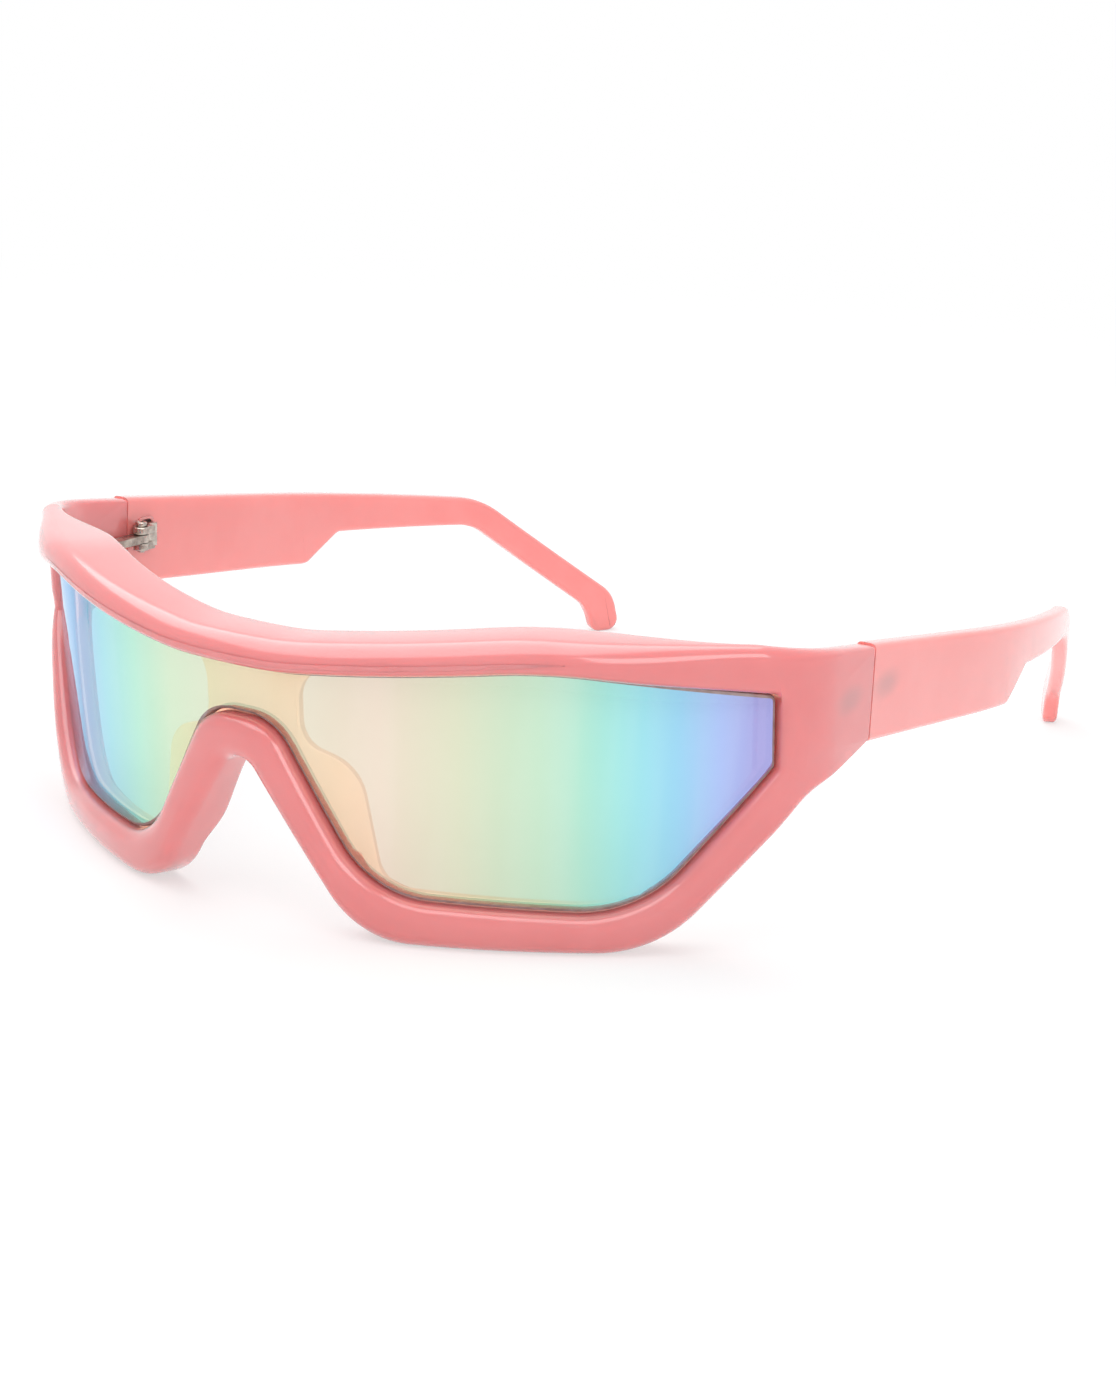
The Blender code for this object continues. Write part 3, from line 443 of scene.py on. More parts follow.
@dataclass(frozen=True)
class ClearPlastic:
    """The lens's own plastic: its cut edge, and its tinted face towards the wearer."""

    name: str
    colour: Colour
    edge_colour: Colour
    solid_share: float
    roughness: float
    rough_spread: float = 0.04
    grain_scale: float = 700.0
    grain_range: Place = (0.3, 0.7)
    gloss_coat: float = 0.1

    def make(self) -> Material:
        """Makes the material."""
        material, sheet = blank_material(self.name)
        grain = sheet.between(sheet.grain(self.grain_scale), *self.grain_range)
        sheet.principled({
            "Base Color": sheet.mixed(grain, self.colour, self.edge_colour),
            "Roughness": self.roughness + self.rough_spread * grain,
            "Alpha": self.solid_share,
            "Coat Weight": self.gloss_coat,
        })
        return material


@dataclass(frozen=True)
class HingeSteel:
    """Nickel-bright steel with the fine lines that drawing and turning leave."""

    name: str
    colour: Colour = linear(204, 196, 186)
    dull_colour: Colour = linear(158, 148, 140)
    roughness: float = 0.18
    rough_spread: float = 0.2
    line_scale: float = 1500.0
    line_detail: float = 4.0
    line_stretch: Triple = (1.0, 0.08, 1.0)
    line_strength: float = 0.2
    line_depth: float = 0.01 * MM
    wear_coarseness: float = 0.4
    wear_range: Place = (0.35, 0.7)

    def make(self) -> Material:
        """Makes the material."""
        material, sheet = blank_material(self.name)
        lines = sheet.grain(self.line_scale, self.line_detail, self.line_stretch)
        wear = sheet.between(sheet.grain(self.wear_coarseness * self.line_scale), *self.wear_range)
        sheet.principled({
            "Base Color": sheet.mixed(wear, self.colour, self.dull_colour),
            "Roughness": self.roughness + self.rough_spread * lines,
            "Metallic": 1.0,
            "Normal": sheet.bump(lines, self.line_strength, self.line_depth),
        })
        return material


@dataclass(frozen=True)
class PlanCurve:
    """The front's curve from above: a parabola, a bend into the lug, and the straight lug."""

    seam_back: float
    lug_outside: float = LUG_OUTSIDE
    lug_crown: float = 2.25 * MM
    apex_radius: float = 58.0 * MM
    bend_half_width: float = 63.0 * MM
    lug_straight: float = 7.9 * MM
    lean_share: float = 0.1
    lean_level: float = 25.0 * MM
    solve_rounds: int = 12

    def start_angle(self) -> float:
        """Angle of the curve where it turns into the lug."""
        return math.atan(self.bend_half_width / self.apex_radius)

    def parabola_length(self, half_width: float) -> float:
        """Length of the curve from the middle to a half width."""
        ratio = half_width / self.apex_radius
        return 0.5 * self.apex_radius * (ratio * math.hypot(1.0, ratio) + math.asinh(ratio))

    def bend_radius(self) -> float:
        """Radius that joins the curve to the straight lug."""
        room = self.lug_outside - self.lug_crown - self.bend_half_width
        return room / (1.0 - math.sin(self.start_angle()))

    def bend_start(self) -> float:
        """Distance along the curve where the bend starts."""
        return self.parabola_length(self.bend_half_width)

    def bend_end(self) -> float:
        """Distance along the curve where the lug is straight."""
        return self.bend_start() + self.bend_radius() * (0.5 * math.pi - self.start_angle())

    def seam(self) -> float:
        """Distance along the curve to the hinge seam."""
        return self.bend_end() + self.lug_straight

    def apex_back(self) -> float:
        """Y of the lens face in the middle, the seam being at zero."""
        bend_depth = self.bend_radius() * math.cos(self.start_angle())
        return -(self.lug_straight + bend_depth + 0.5 * self.bend_half_width**2 / self.apex_radius)

    def half_width_at(self, along: float) -> float:
        """Half width of the parabola at a distance along it, by Newton's method."""
        half_width = along
        for _ in range(self.solve_rounds):
            error = self.parabola_length(half_width) - along
            half_width -= error / math.hypot(1.0, half_width / self.apex_radius)
        return half_width

    def place(self, along: float) -> tuple[Place, Place]:
        """Finds a point of the curve on the wearer's left.

        Args:
            along: Distance from the middle.

        Returns:
            The point, and the direction that faces the wearer there.
        """
        if along <= self.bend_start():
            half_width = self.half_width_at(along)
            angle = math.atan(half_width / self.apex_radius)
            point = (half_width, self.apex_back() + 0.5 * half_width**2 / self.apex_radius)
        elif along <= self.bend_end():
            radius = self.bend_radius()
            angle = self.start_angle() + (along - self.bend_start()) / radius
            across = self.lug_outside - self.lug_crown - radius * (1.0 - math.sin(angle))
            point = (across, -self.lug_straight - radius * math.cos(angle))
        else:
            angle = 0.5 * math.pi
            point = (self.lug_outside - self.lug_crown, along - self.bend_end() - self.lug_straight)
        return point, (-math.sin(angle), math.cos(angle))

    def point(self, along: float, height: float, depth: float) -> Vector:
        """Wraps a place on the flat pattern into space.

        Args:
            along: Distance from the middle, negative to the wearer's right.
            height: Height above the table.
            depth: Distance behind the lens face.

        Returns:
            The point.
        """
        side = -1.0 if along < 0.0 else 1.0
        (across, back), (inward_x, inward_y) = self.place(abs(along))
        lean = self.lean_share * (height - self.lean_level)
        back += depth * inward_y - lean + self.seam_back
        return Vector((side * (across + depth * inward_x), back, height))


@dataclass(frozen=True)
class TempleBow:
    """The curve of the left temple: straight first, then bowed in towards the ear."""

    seam_back: float
    outside: float = LUG_OUTSIDE
    straight: float = 35.0 * MM
    bow_radius: float = 180.0 * MM

    def point(self, along: float, height: float, depth: float) -> Vector:
        """Wraps a place on the temple's flat pattern into space; depth runs inwards from its outer face."""
        angle = max(0.0, along - self.straight) / self.bow_radius
        radius = self.bow_radius - depth
        across = self.outside - self.bow_radius + radius * math.cos(angle)
        back = min(along, self.straight) + radius * math.sin(angle) + self.seam_back
        return Vector((across, back, height))


@dataclass(frozen=True)
class Wall:
    """The front's wall at one place: how far it stands before and behind the lens face."""

    lip: float
    crown: float
    back_in: float
    back_out: float
    edge_round: float

    def blended(self, other: "Wall", share: float) -> "Wall":
        """Mixes this wall with another by a share."""
        pairs = zip(self.__dict__.values(), other.__dict__.values())
        return Wall(*[(1.0 - share) * mine + share * theirs for mine, theirs in pairs])


@dataclass(frozen=True)
class Station:
    """One cut through the front's wall."""

    window: Place
    outer: Place
    wall: Wall

    def mirrored(self) -> "Station":
        """The same cut on the wearer's right."""
        return Station((-self.window[0], self.window[1]), (-self.outer[0], self.outer[1]), self.wall)

    def outward(self, distance: float) -> Place:
        """The window's edge, moved towards the outer edge."""
        start = Vector(self.window)
        out = (Vector(self.outer) - start).normalized()
        return tuple(start + out * distance)


@dataclass(frozen=True)
class Corner(Station):
    """A cut at a corner of the lens window, with the rounds of the window and of the outer edge there."""

    window_round: float = 0.0
    outer_round: float = 0.0
    arc_steps: int = 0


def mixed_place(first: Place, second: Place, share: float) -> Place:
    """Mixes two places by a share."""
    return tuple((1.0 - share) * a + share * b for a, b in zip(first, second))


def fillet(before: Place, corner: Place, after: Place, radius: float, steps: int) -> list[Place]:
    """Rounds one corner of a flat outline.

    Args:
        before: The corner before it.
        corner: The corner.
        after: The corner after it.
        radius: Radius of the round.
        steps: Segments of the round; none leaves the corner sharp.

    Returns:
        The points of the round, first to last.
    """
    if steps == 0:
        return [corner]
    here = Vector(corner)
    back = (Vector(before) - here).normalized()
    ahead = (Vector(after) - here).normalized()
    half_angle = 0.5 * back.angle(ahead)
    reach = radius / math.tan(half_angle)
    centre = here + (back + ahead).normalized() * (radius / math.sin(half_angle))
    first = here + back * reach - centre
    sweep = first.angle_signed(here + ahead * reach - centre)
    return [tuple(centre + turned(first, -sweep * step / steps)) for step in range(steps + 1)]


def turned(arrow: Vector, angle: float) -> Vector:
    """Turns a flat vector by an angle."""
    cosine = math.cos(angle)
    sine = math.sin(angle)
    return Vector((arrow.x * cosine - arrow.y * sine, arrow.x * sine + arrow.y * cosine))


def quarter_round(steps: int) -> list[Place]:
    """The points of a quarter round of radius one, from (0, 0), where it starts upwards, to (1, 1)."""
    angles = [0.5 * math.pi * step / steps for step in range(steps + 1)]
    return [(1.0 - math.cos(angle), math.sin(angle)) for angle in angles]


def rounded(corners: list[tuple[Place, float, int]]) -> list[Place]:
    """Makes a closed flat outline.

    Args:
        corners: The (place, radius, steps) of each corner.

    Returns:
        The outline's points.
    """
    places = [place for place, _, _ in corners]
    points = []
    for index, (place, radius, steps) in enumerate(corners):
        points += fillet(places[index - 1], place, places[(index + 1) % len(places)], radius, steps)
    return points


def all_of(bm: BMesh) -> list:
    """Every vertex, edge and face of a mesh."""
    return bm.verts[:] + bm.edges[:] + bm.faces[:]


def only(kind: type, items: list) -> list:
    """The items of one kind."""
    return [item for item in items if isinstance(item, kind)]


def bevelled(bm: BMesh, edges: list, width: float, segments: int = 3) -> None:
    """Rounds some edges by a width."""
    bmesh.ops.bevel(
        bm, geom=edges, offset=width, offset_type="OFFSET", segments=segments,
        profile=0.5, affect="EDGES", material=-1,
    )


def thickened(bm: BMesh, faces: list, move: Triple) -> None:
    """Draws some faces out into a solid by a move."""
    grown = bmesh.ops.extrude_face_region(bm, geom=faces, use_keep_orig=True)
    bmesh.ops.translate(bm, verts=only(BMVert, grown["geom"]), vec=move)


def draw_loop(bm: BMesh, points: list[Vector]) -> list[BMEdge]:
    """Draws a closed line of edges through some points."""
    verts = [bm.verts.new(point) for point in points]
    return [bm.edges.new((verts[index - 1], vert)) for index, vert in enumerate(verts)]


def cut_across(bm: BMesh, low: float, high: float, spacing: float) -> None:
    """Cuts a flat pattern piece across, so that it can bend.

    Args:
        bm: The piece.
        low: Where the cuts start.
        high: Where they end.
        spacing: About how far apart they are.
    """
    cuts = max(2, round((high - low) / spacing))
    for cut in range(1, cuts):
        place = low + (high - low) * cut / cuts
        bmesh.ops.bisect_plane(
            bm, geom=all_of(bm), dist=TINY, plane_co=(place, 0.0, 0.0), plane_no=(1.0, 0.0, 0.0),
        )


@dataclass(frozen=True)
class Rims:
    """How the two rims of a flat piece are rounded."""

    width: float
    segments: int
    least_angle: float = math.radians(45.0)


def flat_piece(outlines: list[list[Place]], near: float, far: float, spacing: float,
               rims: Rims | None = None, square_start: bool = False) -> BMesh:
    """Makes a flat pattern piece: X is along, Y depth and Z height.

    Args:
        outlines: The outer outline, then those of any openings.
        near: Depth of its outer face.
        far: Depth of its inner face.
        spacing: About how far apart it is cut across.
        rims: The round of its rims.
        square_start: Leaves the end at its lowest along square, for a seam.

    Returns:
        The piece.
    """
    bm = bmesh.new()
    for outline in outlines:
        draw_loop(bm, [Vector((along, near, height)) for along, height in outline])
    bmesh.ops.triangle_fill(bm, use_beauty=True, edges=bm.edges[:])
    low = min(vert.co.x for vert in bm.verts)
    high = max(vert.co.x for vert in bm.verts)
    bmesh.ops.dissolve_limit(bm, angle_limit=FLAT_ANGLE, verts=bm.verts[:], edges=bm.edges[:])
    cut_across(bm, low, high, spacing)
    thickened(bm, bm.faces[:], (0.0, far - near, 0.0))
    bmesh.ops.recalc_face_normals(bm, faces=bm.faces)
    if rims:
        edges = [edge for edge in bm.edges if is_rim(edge, low, rims, square_start)]
        bevelled(bm, edges, rims.width, rims.segments)
    return bm


def is_rim(edge: BMEdge, low: float, rims: Rims, square_start: bool) -> bool:
    """Tells an edge of a flat piece's rims from one inside a face, or one at a square start."""
    if len(edge.link_faces) < 2 or edge.calc_face_angle(0.0) < rims.least_angle:
        return False
    first, second = (vert.co for vert in edge.verts)
    at_start = abs(first.x - low) < TINY and abs(second.x - low) < TINY
    return abs(first.y - second.y) < TINY and not (square_start and at_start)


def on_side(bm: BMesh, side: Side) -> BMesh:
    """Mirrors a piece of the wearer's left when it is for the right."""
    bmesh.ops.scale(bm, vec=(side.value, 1.0, 1.0), verts=bm.verts)
    return bm


def moved_to(bm: BMesh, wrap: Wrap, side: Side = Side.LEFT) -> BMesh:
    """Wraps a flat pattern piece into space.

    Args:
        bm: The piece.
        wrap: The curve's own point(along, height, depth).
        side: The wearer's side; a right piece is the left one mirrored.

    Returns:
        The same piece.
    """
    for vert in bm.verts:
        vert.co = wrap(vert.co.x, vert.co.z, vert.co.y)
    return on_side(bm, side)


def finished(name: str, bm: BMesh) -> bpy.types.Object:
    """Turns a bmesh into an object of the scene, smooth but for its sharp edges.

    Args:
        name: The piece's name.
        bm: Its mesh, which is used up.

    Returns:
        The object.
    """
    bmesh.ops.remove_doubles(bm, verts=bm.verts, dist=TINY)
    bmesh.ops.recalc_face_normals(bm, faces=bm.faces)
    mesh = bpy.data.meshes.new(name)
    bm.to_mesh(mesh)
    bm.free()
    mesh.shade_smooth()
    mesh.set_sharp_from_angle(angle=SHARP_ANGLE)
    obj = bpy.data.objects.new(name, mesh)
    bpy.context.scene.collection.objects.link(obj)
    return obj


def place_piece(obj: bpy.types.Object, node: str, body: str,
                materials: list[Material]) -> None:
    """Dresses a piece and hangs it on its CAD body.

    Args:
        obj: The piece.
        node: The CAD node that it stands for.
        body: The body that it moves with.
        materials: Its materials, in the order of its slots.
    """
    for material in materials:
        obj.data.materials.append(material)
    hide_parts(node)
    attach(obj, body)
    log.info("%s: %d faces on %s, for %s", obj.name, len(obj.data.polygons), body, node)


@dataclass(frozen=True)
class FrontFrame:
    """The one-piece front: brow, rims, nose arch, end lugs, and the web behind the lens."""

    curve: PlanCurve
    arch_shoulder: Place = (5.4 * MM, 30.6 * MM)
    arch_foot: Place = (19.3 * MM, 6.6 * MM)
    window_heel: Place = (57.4 * MM, 5.5 * MM)
    window_side: float = 77.1 * MM
    window_side_low: float = 27.2 * MM
    window_side_top: float = 38.2 * MM
    window_brow: Place = (44.0 * MM, 42.0 * MM)
    window_dip: float = 38.7 * MM
    nose_shoulder: Place = (1.8 * MM, 24.3 * MM)
    nose_foot: Place = (18.0 * MM, 0.0)
    rim_heel: Place = (59.5 * MM, 0.0)
    lug_heel: Place = (81.5 * MM, 23.0 * MM)
    lug_brow: Place = (74.0 * MM, 45.3 * MM)
    brow_peak: Place = (42.0 * MM, 46.5 * MM)
    brow_dip: Place = (8.0 * MM, 43.1 * MM)
    shoulder_rounds: Place = (7.2 * MM, 3.18 * MM)
    foot_rounds: Place = (15.0 * MM, 13.0 * MM)
    heel_rounds: Place = (20.0 * MM, 20.0 * MM)
    end_rounds: Place = (1.4 * MM, 12.0 * MM)
    peak_rounds: Place = (70.0 * MM, 70.0 * MM)
    dip_rounds: Place = (60.0 * MM, 60.0 * MM)
    lug_overrun: float = 5.9 * MM
    end_share: float = 0.3
    pad_share: float = 0.5
    crown_run: float = 3.4 * MM
    crown_share: float = 0.42
    back_round: float = 1.0 * MM
    back_run: float = 7.0 * MM
    back_shares: tuple[float, float] = (0.5, 0.12)
    crown_steps: int = 7
    back_steps: int = 4
    station_spacing: float = 1.1 * MM
    web_near: float = 2.3 * MM
    web_thickness: float = 1.8 * MM
    web_root: float = 1.2 * MM
    web_lit: float = 0.5 * MM
    web_spacing: float = 1.6 * MM
    web_rims: Rims = Rims(0.35 * MM, 2)
    arch_wall: Wall = Wall(0.5 * MM, 2.4 * MM, 4.6 * MM, 5.4 * MM, 2.6 * MM)
    pad_wall: Wall = Wall(0.5 * MM, 2.4 * MM, 4.6 * MM, 6.4 * MM, 2.6 * MM)
    rim_wall: Wall = Wall(0.5 * MM, 2.4 * MM, 4.6 * MM, 4.6 * MM, 2.6 * MM)
    bend_wall: Wall = Wall(0.5 * MM, 1.9 * MM, 4.6 * MM, 1.3 * MM, 1.8 * MM)
    lug_wall: Wall = Wall(0.5 * MM, 2.25 * MM, 4.6 * MM, 0.95 * MM, 1.0 * MM)
    brow_wall: Wall = Wall(2.4 * MM, 4.2 * MM, 4.6 * MM, 6.4 * MM, 3.4 * MM)

    def past_seam(self, corner: Place, seam_height: float) -> Place:
        """Carries the line from an outer corner to the seam on past it, so that the lug is cut square."""
        seam = self.curve.seam()
        slope = (seam_height - corner[1]) / (seam - corner[0])
        return seam + self.lug_overrun, seam_height + self.lug_overrun * slope

    def corners(self) -> list[Corner]:
        """Corners of the left half, from the arch over the nose round to the middle of the brow."""
        side = self.window_side
        low = self.window_side_low
        top = self.window_side_top
        end = self.end_share * (top - low)
        mid_window = mixed_place(self.arch_shoulder, self.arch_foot, self.pad_share)
        mid_outer = mixed_place(self.nose_shoulder, self.nose_foot, self.pad_share)
        dip = (self.brow_dip[0], self.window_dip)
        low_end = self.past_seam(self.lug_heel, SEAM_BOTTOM)
        top_end = self.past_seam(self.lug_brow, SEAM_TOP)
        return [
            Corner((0.0, self.arch_shoulder[1]), (0.0, self.nose_shoulder[1]), self.arch_wall),
            Corner(self.arch_shoulder, self.nose_shoulder, self.arch_wall, *self.shoulder_rounds, 12),
            Corner(mid_window, mid_outer, self.pad_wall),
            Corner(self.arch_foot, self.nose_foot, self.rim_wall, *self.foot_rounds, 14),
            Corner(self.window_heel, self.rim_heel, self.rim_wall, *self.heel_rounds, 14),
            Corner((side, low), self.lug_heel, self.bend_wall, *self.end_rounds, 10),
            Corner((side, low + end), low_end, self.lug_wall),
            Corner((side, top - end), top_end, self.lug_wall),
            Corner((side, top), self.lug_brow, self.bend_wall, *self.end_rounds, 10),
            Corner(self.window_brow, self.brow_peak, self.brow_wall, *self.peak_rounds, 10),
            Corner(dip, self.brow_dip, self.brow_wall, *self.dip_rounds, 8),
            Corner((0.0, self.window_dip), (0.0, self.brow_dip[1]), self.brow_wall),
        ]

    def half_stations(self) -> list[Station]:
        """Cuts through the wall of the left half, from the arch to the brow."""
        corners = self.corners()
        stations: list[Station] = []
        for index, corner in enumerate(corners):
            before = corners[max(0, index - 1)]
            after = corners[min(len(corners) - 1, index + 1)]
            steps = corner.arc_steps
            window = fillet(before.window, corner.window, after.window, corner.window_round, steps)
            outer = fillet(before.outer, corner.outer, after.outer, corner.outer_round, steps)
            if stations:
                stations += self.run(stations[-1], Station(window[0], outer[0], corner.wall))
            stations += [Station(inner, edge, corner.wall) for inner, edge in zip(window, outer)]
        return stations

    def run(self, start: Station, end: Station) -> list[Station]:
        """Cuts between two stations, evenly spaced."""
        length = (Vector(end.outer) - Vector(start.outer)).length
        steps = max(1, round(length / self.station_spacing))
        cuts = []
        for step in range(1, steps):
            share = step / steps
            cuts.append(Station(
                mixed_place(start.window, end.window, share),
                mixed_place(start.outer, end.outer, share),
                start.wall.blended(end.wall, eased(share)),
            ))
        return cuts

    def stations(self) -> list[Station]:
        """Cuts through the wall all round the window."""
        half = self.half_stations()
        return half + [station.mirrored() for station in half[1:-1]][::-1]

    def section(self, width: float, wall: Wall) -> list[Place]:
        """Outline of the wall as (reach, depth), reach being measured from the window outwards.

        Args:
            width: Width of the wall from the window to the outer edge.
            wall: The wall's sizes.

        Returns:
            The outline's points.
        """
        crown_run = min(self.crown_run, self.crown_share * width)
        drop = wall.crown - wall.lip
        edge = wall.edge_round
        points = [(0.0, wall.back_in)]
        for out, up in quarter_round(self.crown_steps):
            points.append((crown_run * out, -wall.lip - drop * up))
        for out, up in quarter_round(self.crown_steps):
            points.append((width - edge * (1.0 - up), edge * out - wall.crown))
        for out, up in quarter_round(self.back_steps):
            points.append((width - self.back_round * out, wall.back_out - self.back_round * (1.0 - up)))
        back_run = min(self.back_run, width)
        first, last = self.back_shares
        for step in range(self.back_steps + 1):
            share = step / self.back_steps
            depth = wall.back_out + (wall.back_in - wall.back_out) * eased(share)
            points.append((back_run * (first + (last - first) * share), depth))
        return points

    def ring(self) -> BMesh:
        """The wall round the window as one closed tube, wrapped and cut square at both seams."""
        bm = bmesh.new()
        loops = []
        for station in self.stations():
            start = Vector(station.window)
            out = Vector(station.outer) - start
            width = out.length
            out.normalize()
            points = []
            for reach, depth in self.section(width, station.wall):
                along, height = start + out * reach
                points.append(Vector((along, depth, height)))
            loops.append(draw_loop(bm, points))
        for index, loop in enumerate(loops):
            bmesh.ops.bridge_loops(bm, edges=loops[index - 1] + loop)
        bend = self.curve.bend_end()
        for side in Side:
            ends = sorted((side.value * self.window_side, side.value * bend))
            cut_across(bm, ends[0], ends[1], self.station_spacing)
        moved_to(bm, self.curve.point)
        self.cut_seams(bm)
        return bm

    def cut_seams(self, bm: BMesh) -> None:
        """Cuts both lugs square at the hinge seam and closes the cuts."""
        cut = bmesh.ops.bisect_plane(
            bm, geom=all_of(bm), dist=TINY, clear_outer=True,
            plane_co=(0.0, self.curve.seam_back, 0.0), plane_no=(0.0, 1.0, 0.0),
        )
        edges = only(BMEdge, cut["geom_cut"])
        for side in Side:
            ends = [edge for edge in edges if side.value * edge.verts[0].co.x > 0.0]
            bmesh.ops.holes_fill(bm, edges=ends, sides=0)

    def eye_outline(self, side: Side) -> list[Place]:
        """Outline of one eye opening in the web, from beside the nose down, outwards and back by the brow."""
        nose_low = (8.4 * MM, 27.3 * MM)
        nose_side = (17.5 * MM, 24.7 * MM)
        foot = (20.6 * MM, 7.3 * MM)
        heel = (57.1 * MM, 6.2 * MM)
        end_low = (76.4 * MM, 27.5 * MM)
        end_top = (76.4 * MM, 37.5 * MM)
        brow = (44.0 * MM, 41.3 * MM)
        nose_top = (8.4 * MM, 38.0 * MM)
        outline = rounded([
            (nose_low, 4.0 * MM, 10), (nose_side, 7.0 * MM, 12), (foot, 4.5 * MM, 10),
            (heel, 19.3 * MM, 14), (end_low, 0.7 * MM, 6), (end_top, 0.7 * MM, 6),
            (brow, 70.0 * MM, 8), (nose_top, 5.0 * MM, 12),
        ])
        return [(side.value * along, height) for along, height in outline]

    def web(self) -> BMesh:
        """The web behind the lens, with its two eye openings."""
        edge = [station.outward(self.web_root) for station in self.stations()]
        openings = [self.eye_outline(side) for side in Side]
        far = self.web_near + self.web_thickness
        bm = flat_piece([edge] + openings, self.web_near, far, self.web_spacing, self.web_rims)
        for face in bm.faces:
            depth = face.calc_center_median().y
            # Faces near the lens and the opening walls take the materials of painted backlight.
            if depth < self.web_near + self.web_lit:
                face.material_index = WebFace.LENS_SIDE.value
            elif depth < far - TINY:
                face.material_index = WebFace.OPENING.value
        return moved_to(bm, self.curve.point)

    def build(self, plastic: Material) -> None:
        """Builds and dresses the front."""
        # The web's lens-side faces and the walls of its openings are painted light: lighter colours of the
        # pink plastic that glow.
        backlight_painted = PaintedBacklitPlastic("web_behind_lens").make()
        opening = PaintedBacklitPlastic("web_opening", linear(252, 190, 172), linear(250, 183, 165), 0.15).make()
        ring = finished("front_moulding", self.ring())
        web = finished("lens_web", self.web())
        place_piece(ring, "front_frame", "front", [plastic])
        place_piece(web, "front_frame", "front", [plastic, backlight_painted, opening])


@dataclass(frozen=True)
class ShieldLens:
    """The one-piece mirrored lens, let into the front."""

    front: FrontFrame
    thickness: float = 2.0 * MM
    clearance: float = 0.3 * MM
    spacing: float = 1.2 * MM
    rims: Rims = Rims(0.55 * MM, 2)
    mitre_limit: float = 0.5
    least_step: float = 0.05 * MM

    def outline(self) -> list[Place]:
        """The window's outline moved inwards by the clearance."""
        window = []
        for station in self.front.stations():
            if not window or (Vector(station.window) - Vector(window[-1])).length > self.least_step:
                window.append(station.window)
        area = sum(a[0] * b[1] - b[0] * a[1] for a, b in zip(window, window[1:] + window[:1]))
        turn = 1.0 if area > 0.0 else -1.0
        points = []
        for index, place in enumerate(window):
            here = Vector(place)
            before = (here - Vector(window[index - 1])).normalized()
            after = (Vector(window[(index + 1) % len(window)]) - here).normalized()
            middle = (before + after).normalized()
            stretch = 1.0 / max(self.mitre_limit, middle.dot(after))
            inward = Vector((-middle.y, middle.x)) * turn * stretch
            points.append(tuple(here + inward * self.clearance))
        return points

    def mesh(self) -> BMesh:
        """The lens, with its mirror face, cut edge and tinted face as separate slots."""
        bm = flat_piece([self.outline()], 0.0, self.thickness, self.spacing, self.rims)
        for face in bm.faces:
            depth = face.calc_center_median().y
            if depth < TINY:
                face.material_index = Coat.MIRROR.value
            elif depth > self.thickness - TINY:
                face.material_index = Coat.TINT.value
            else:
                face.material_index = Coat.CUT_EDGE.value
        return moved_to(bm, self.front.curve.point)

    def build(self) -> None:
        """Builds and dresses the lens."""
        edge = ClearPlastic("lens_edge", linear(136, 114, 110), linear(160, 140, 138), 0.9, 0.5)
        tint = ClearPlastic("lens_tint", linear(120, 112, 116), linear(130, 122, 126), 0.12, 0.03)
        coats = {Coat.MIRROR: MirrorCoat(), Coat.CUT_EDGE: edge, Coat.TINT: tint}
        lens = finished("mirror_shield", self.mesh())
        place_piece(lens, "shield_lens", "front", [coats[coat].make() for coat in Coat])


@dataclass(frozen=True)
class Temple:
    """One temple: a bowed arm with a notch and a hooked tip."""

    bow: TempleBow
    root_thickness: float = TEMPLE_ROOT
    tip_thickness: float = 2.6 * MM
    seam_gap: float = 0.3 * MM
    shoulder: Place = (93.7 * MM, 28.8 * MM)
    tip_back: Place = (125.5 * MM, 7.4 * MM)
    tip_end: float = 127.5 * MM
    tip_inner: float = 121.3 * MM
    tip_front: Place = (119.5 * MM, 5.2 * MM)
    hook: Place = (91.9 * MM, 24.0 * MM)
    notch_top: Place = (57.8 * MM, 27.0 * MM)
    notch_bottom: Place = (49.5 * MM, 22.4 * MM)
    shoulder_round: float = 22.0 * MM
    bend_round: float = 7.0 * MM
    end_round: float = 2.2 * MM
    hook_round: float = 14.0 * MM
    notch_rounds: Place = (2.6 * MM, 3.2 * MM)
    rims: Rims = Rims(0.9 * MM, 5)
    spacing: float = 1.5 * MM

    def outline(self) -> list[Place]:
        """Side outline, from the seam along the top to the tip and back."""
        return rounded([
            ((self.seam_gap, SEAM_TOP), 0.0, 0),
            (self.shoulder, self.shoulder_round, 14),
            (self.tip_back, self.bend_round, 8),
            ((self.tip_end, 0.0), self.end_round, 6),
            ((self.tip_inner, 0.0), self.end_round, 6),
            (self.tip_front, self.bend_round, 8),
            (self.hook, self.hook_round, 12),
            (self.notch_top, self.notch_rounds[0], 8),
            (self.notch_bottom, self.notch_rounds[1], 8),
            ((self.seam_gap, SEAM_BOTTOM), 0.0, 0),
        ])

    def build(self, side: Side, plastic: Material) -> None:
        """Builds and dresses one temple."""
        bm = flat_piece(
            [self.outline()], 0.0, self.root_thickness, self.spacing, self.rims, square_start=True,
        )
        thinning = 1.0 - self.tip_thickness / self.root_thickness
        for vert in bm.verts:
            vert.co.y *= 1.0 - thinning * vert.co.x / self.tip_end
        arm = finished("temple_arm_" + side.word, moved_to(bm, self.bow.point, side))
        body = "temple_" + side.word
        place_piece(arm, body, body, [plastic])


def add_block(bm: BMesh, low: Triple, high: Triple, edge_round: float) -> None:
    """Adds a box with rounded edges.

    Args:
        bm: The mesh that it joins.
        low: Its lowest corner.
        high: Its highest corner.
        edge_round: How far its edges are rounded.
    """
    verts = bmesh.ops.create_cube(bm, size=1.0)["verts"]
    bmesh.ops.scale(bm, vec=Vector(high) - Vector(low), verts=verts)
    bmesh.ops.translate(bm, vec=0.5 * (Vector(low) + Vector(high)), verts=verts)
    bevelled(bm, list({edge for vert in verts for edge in vert.link_edges}), edge_round)


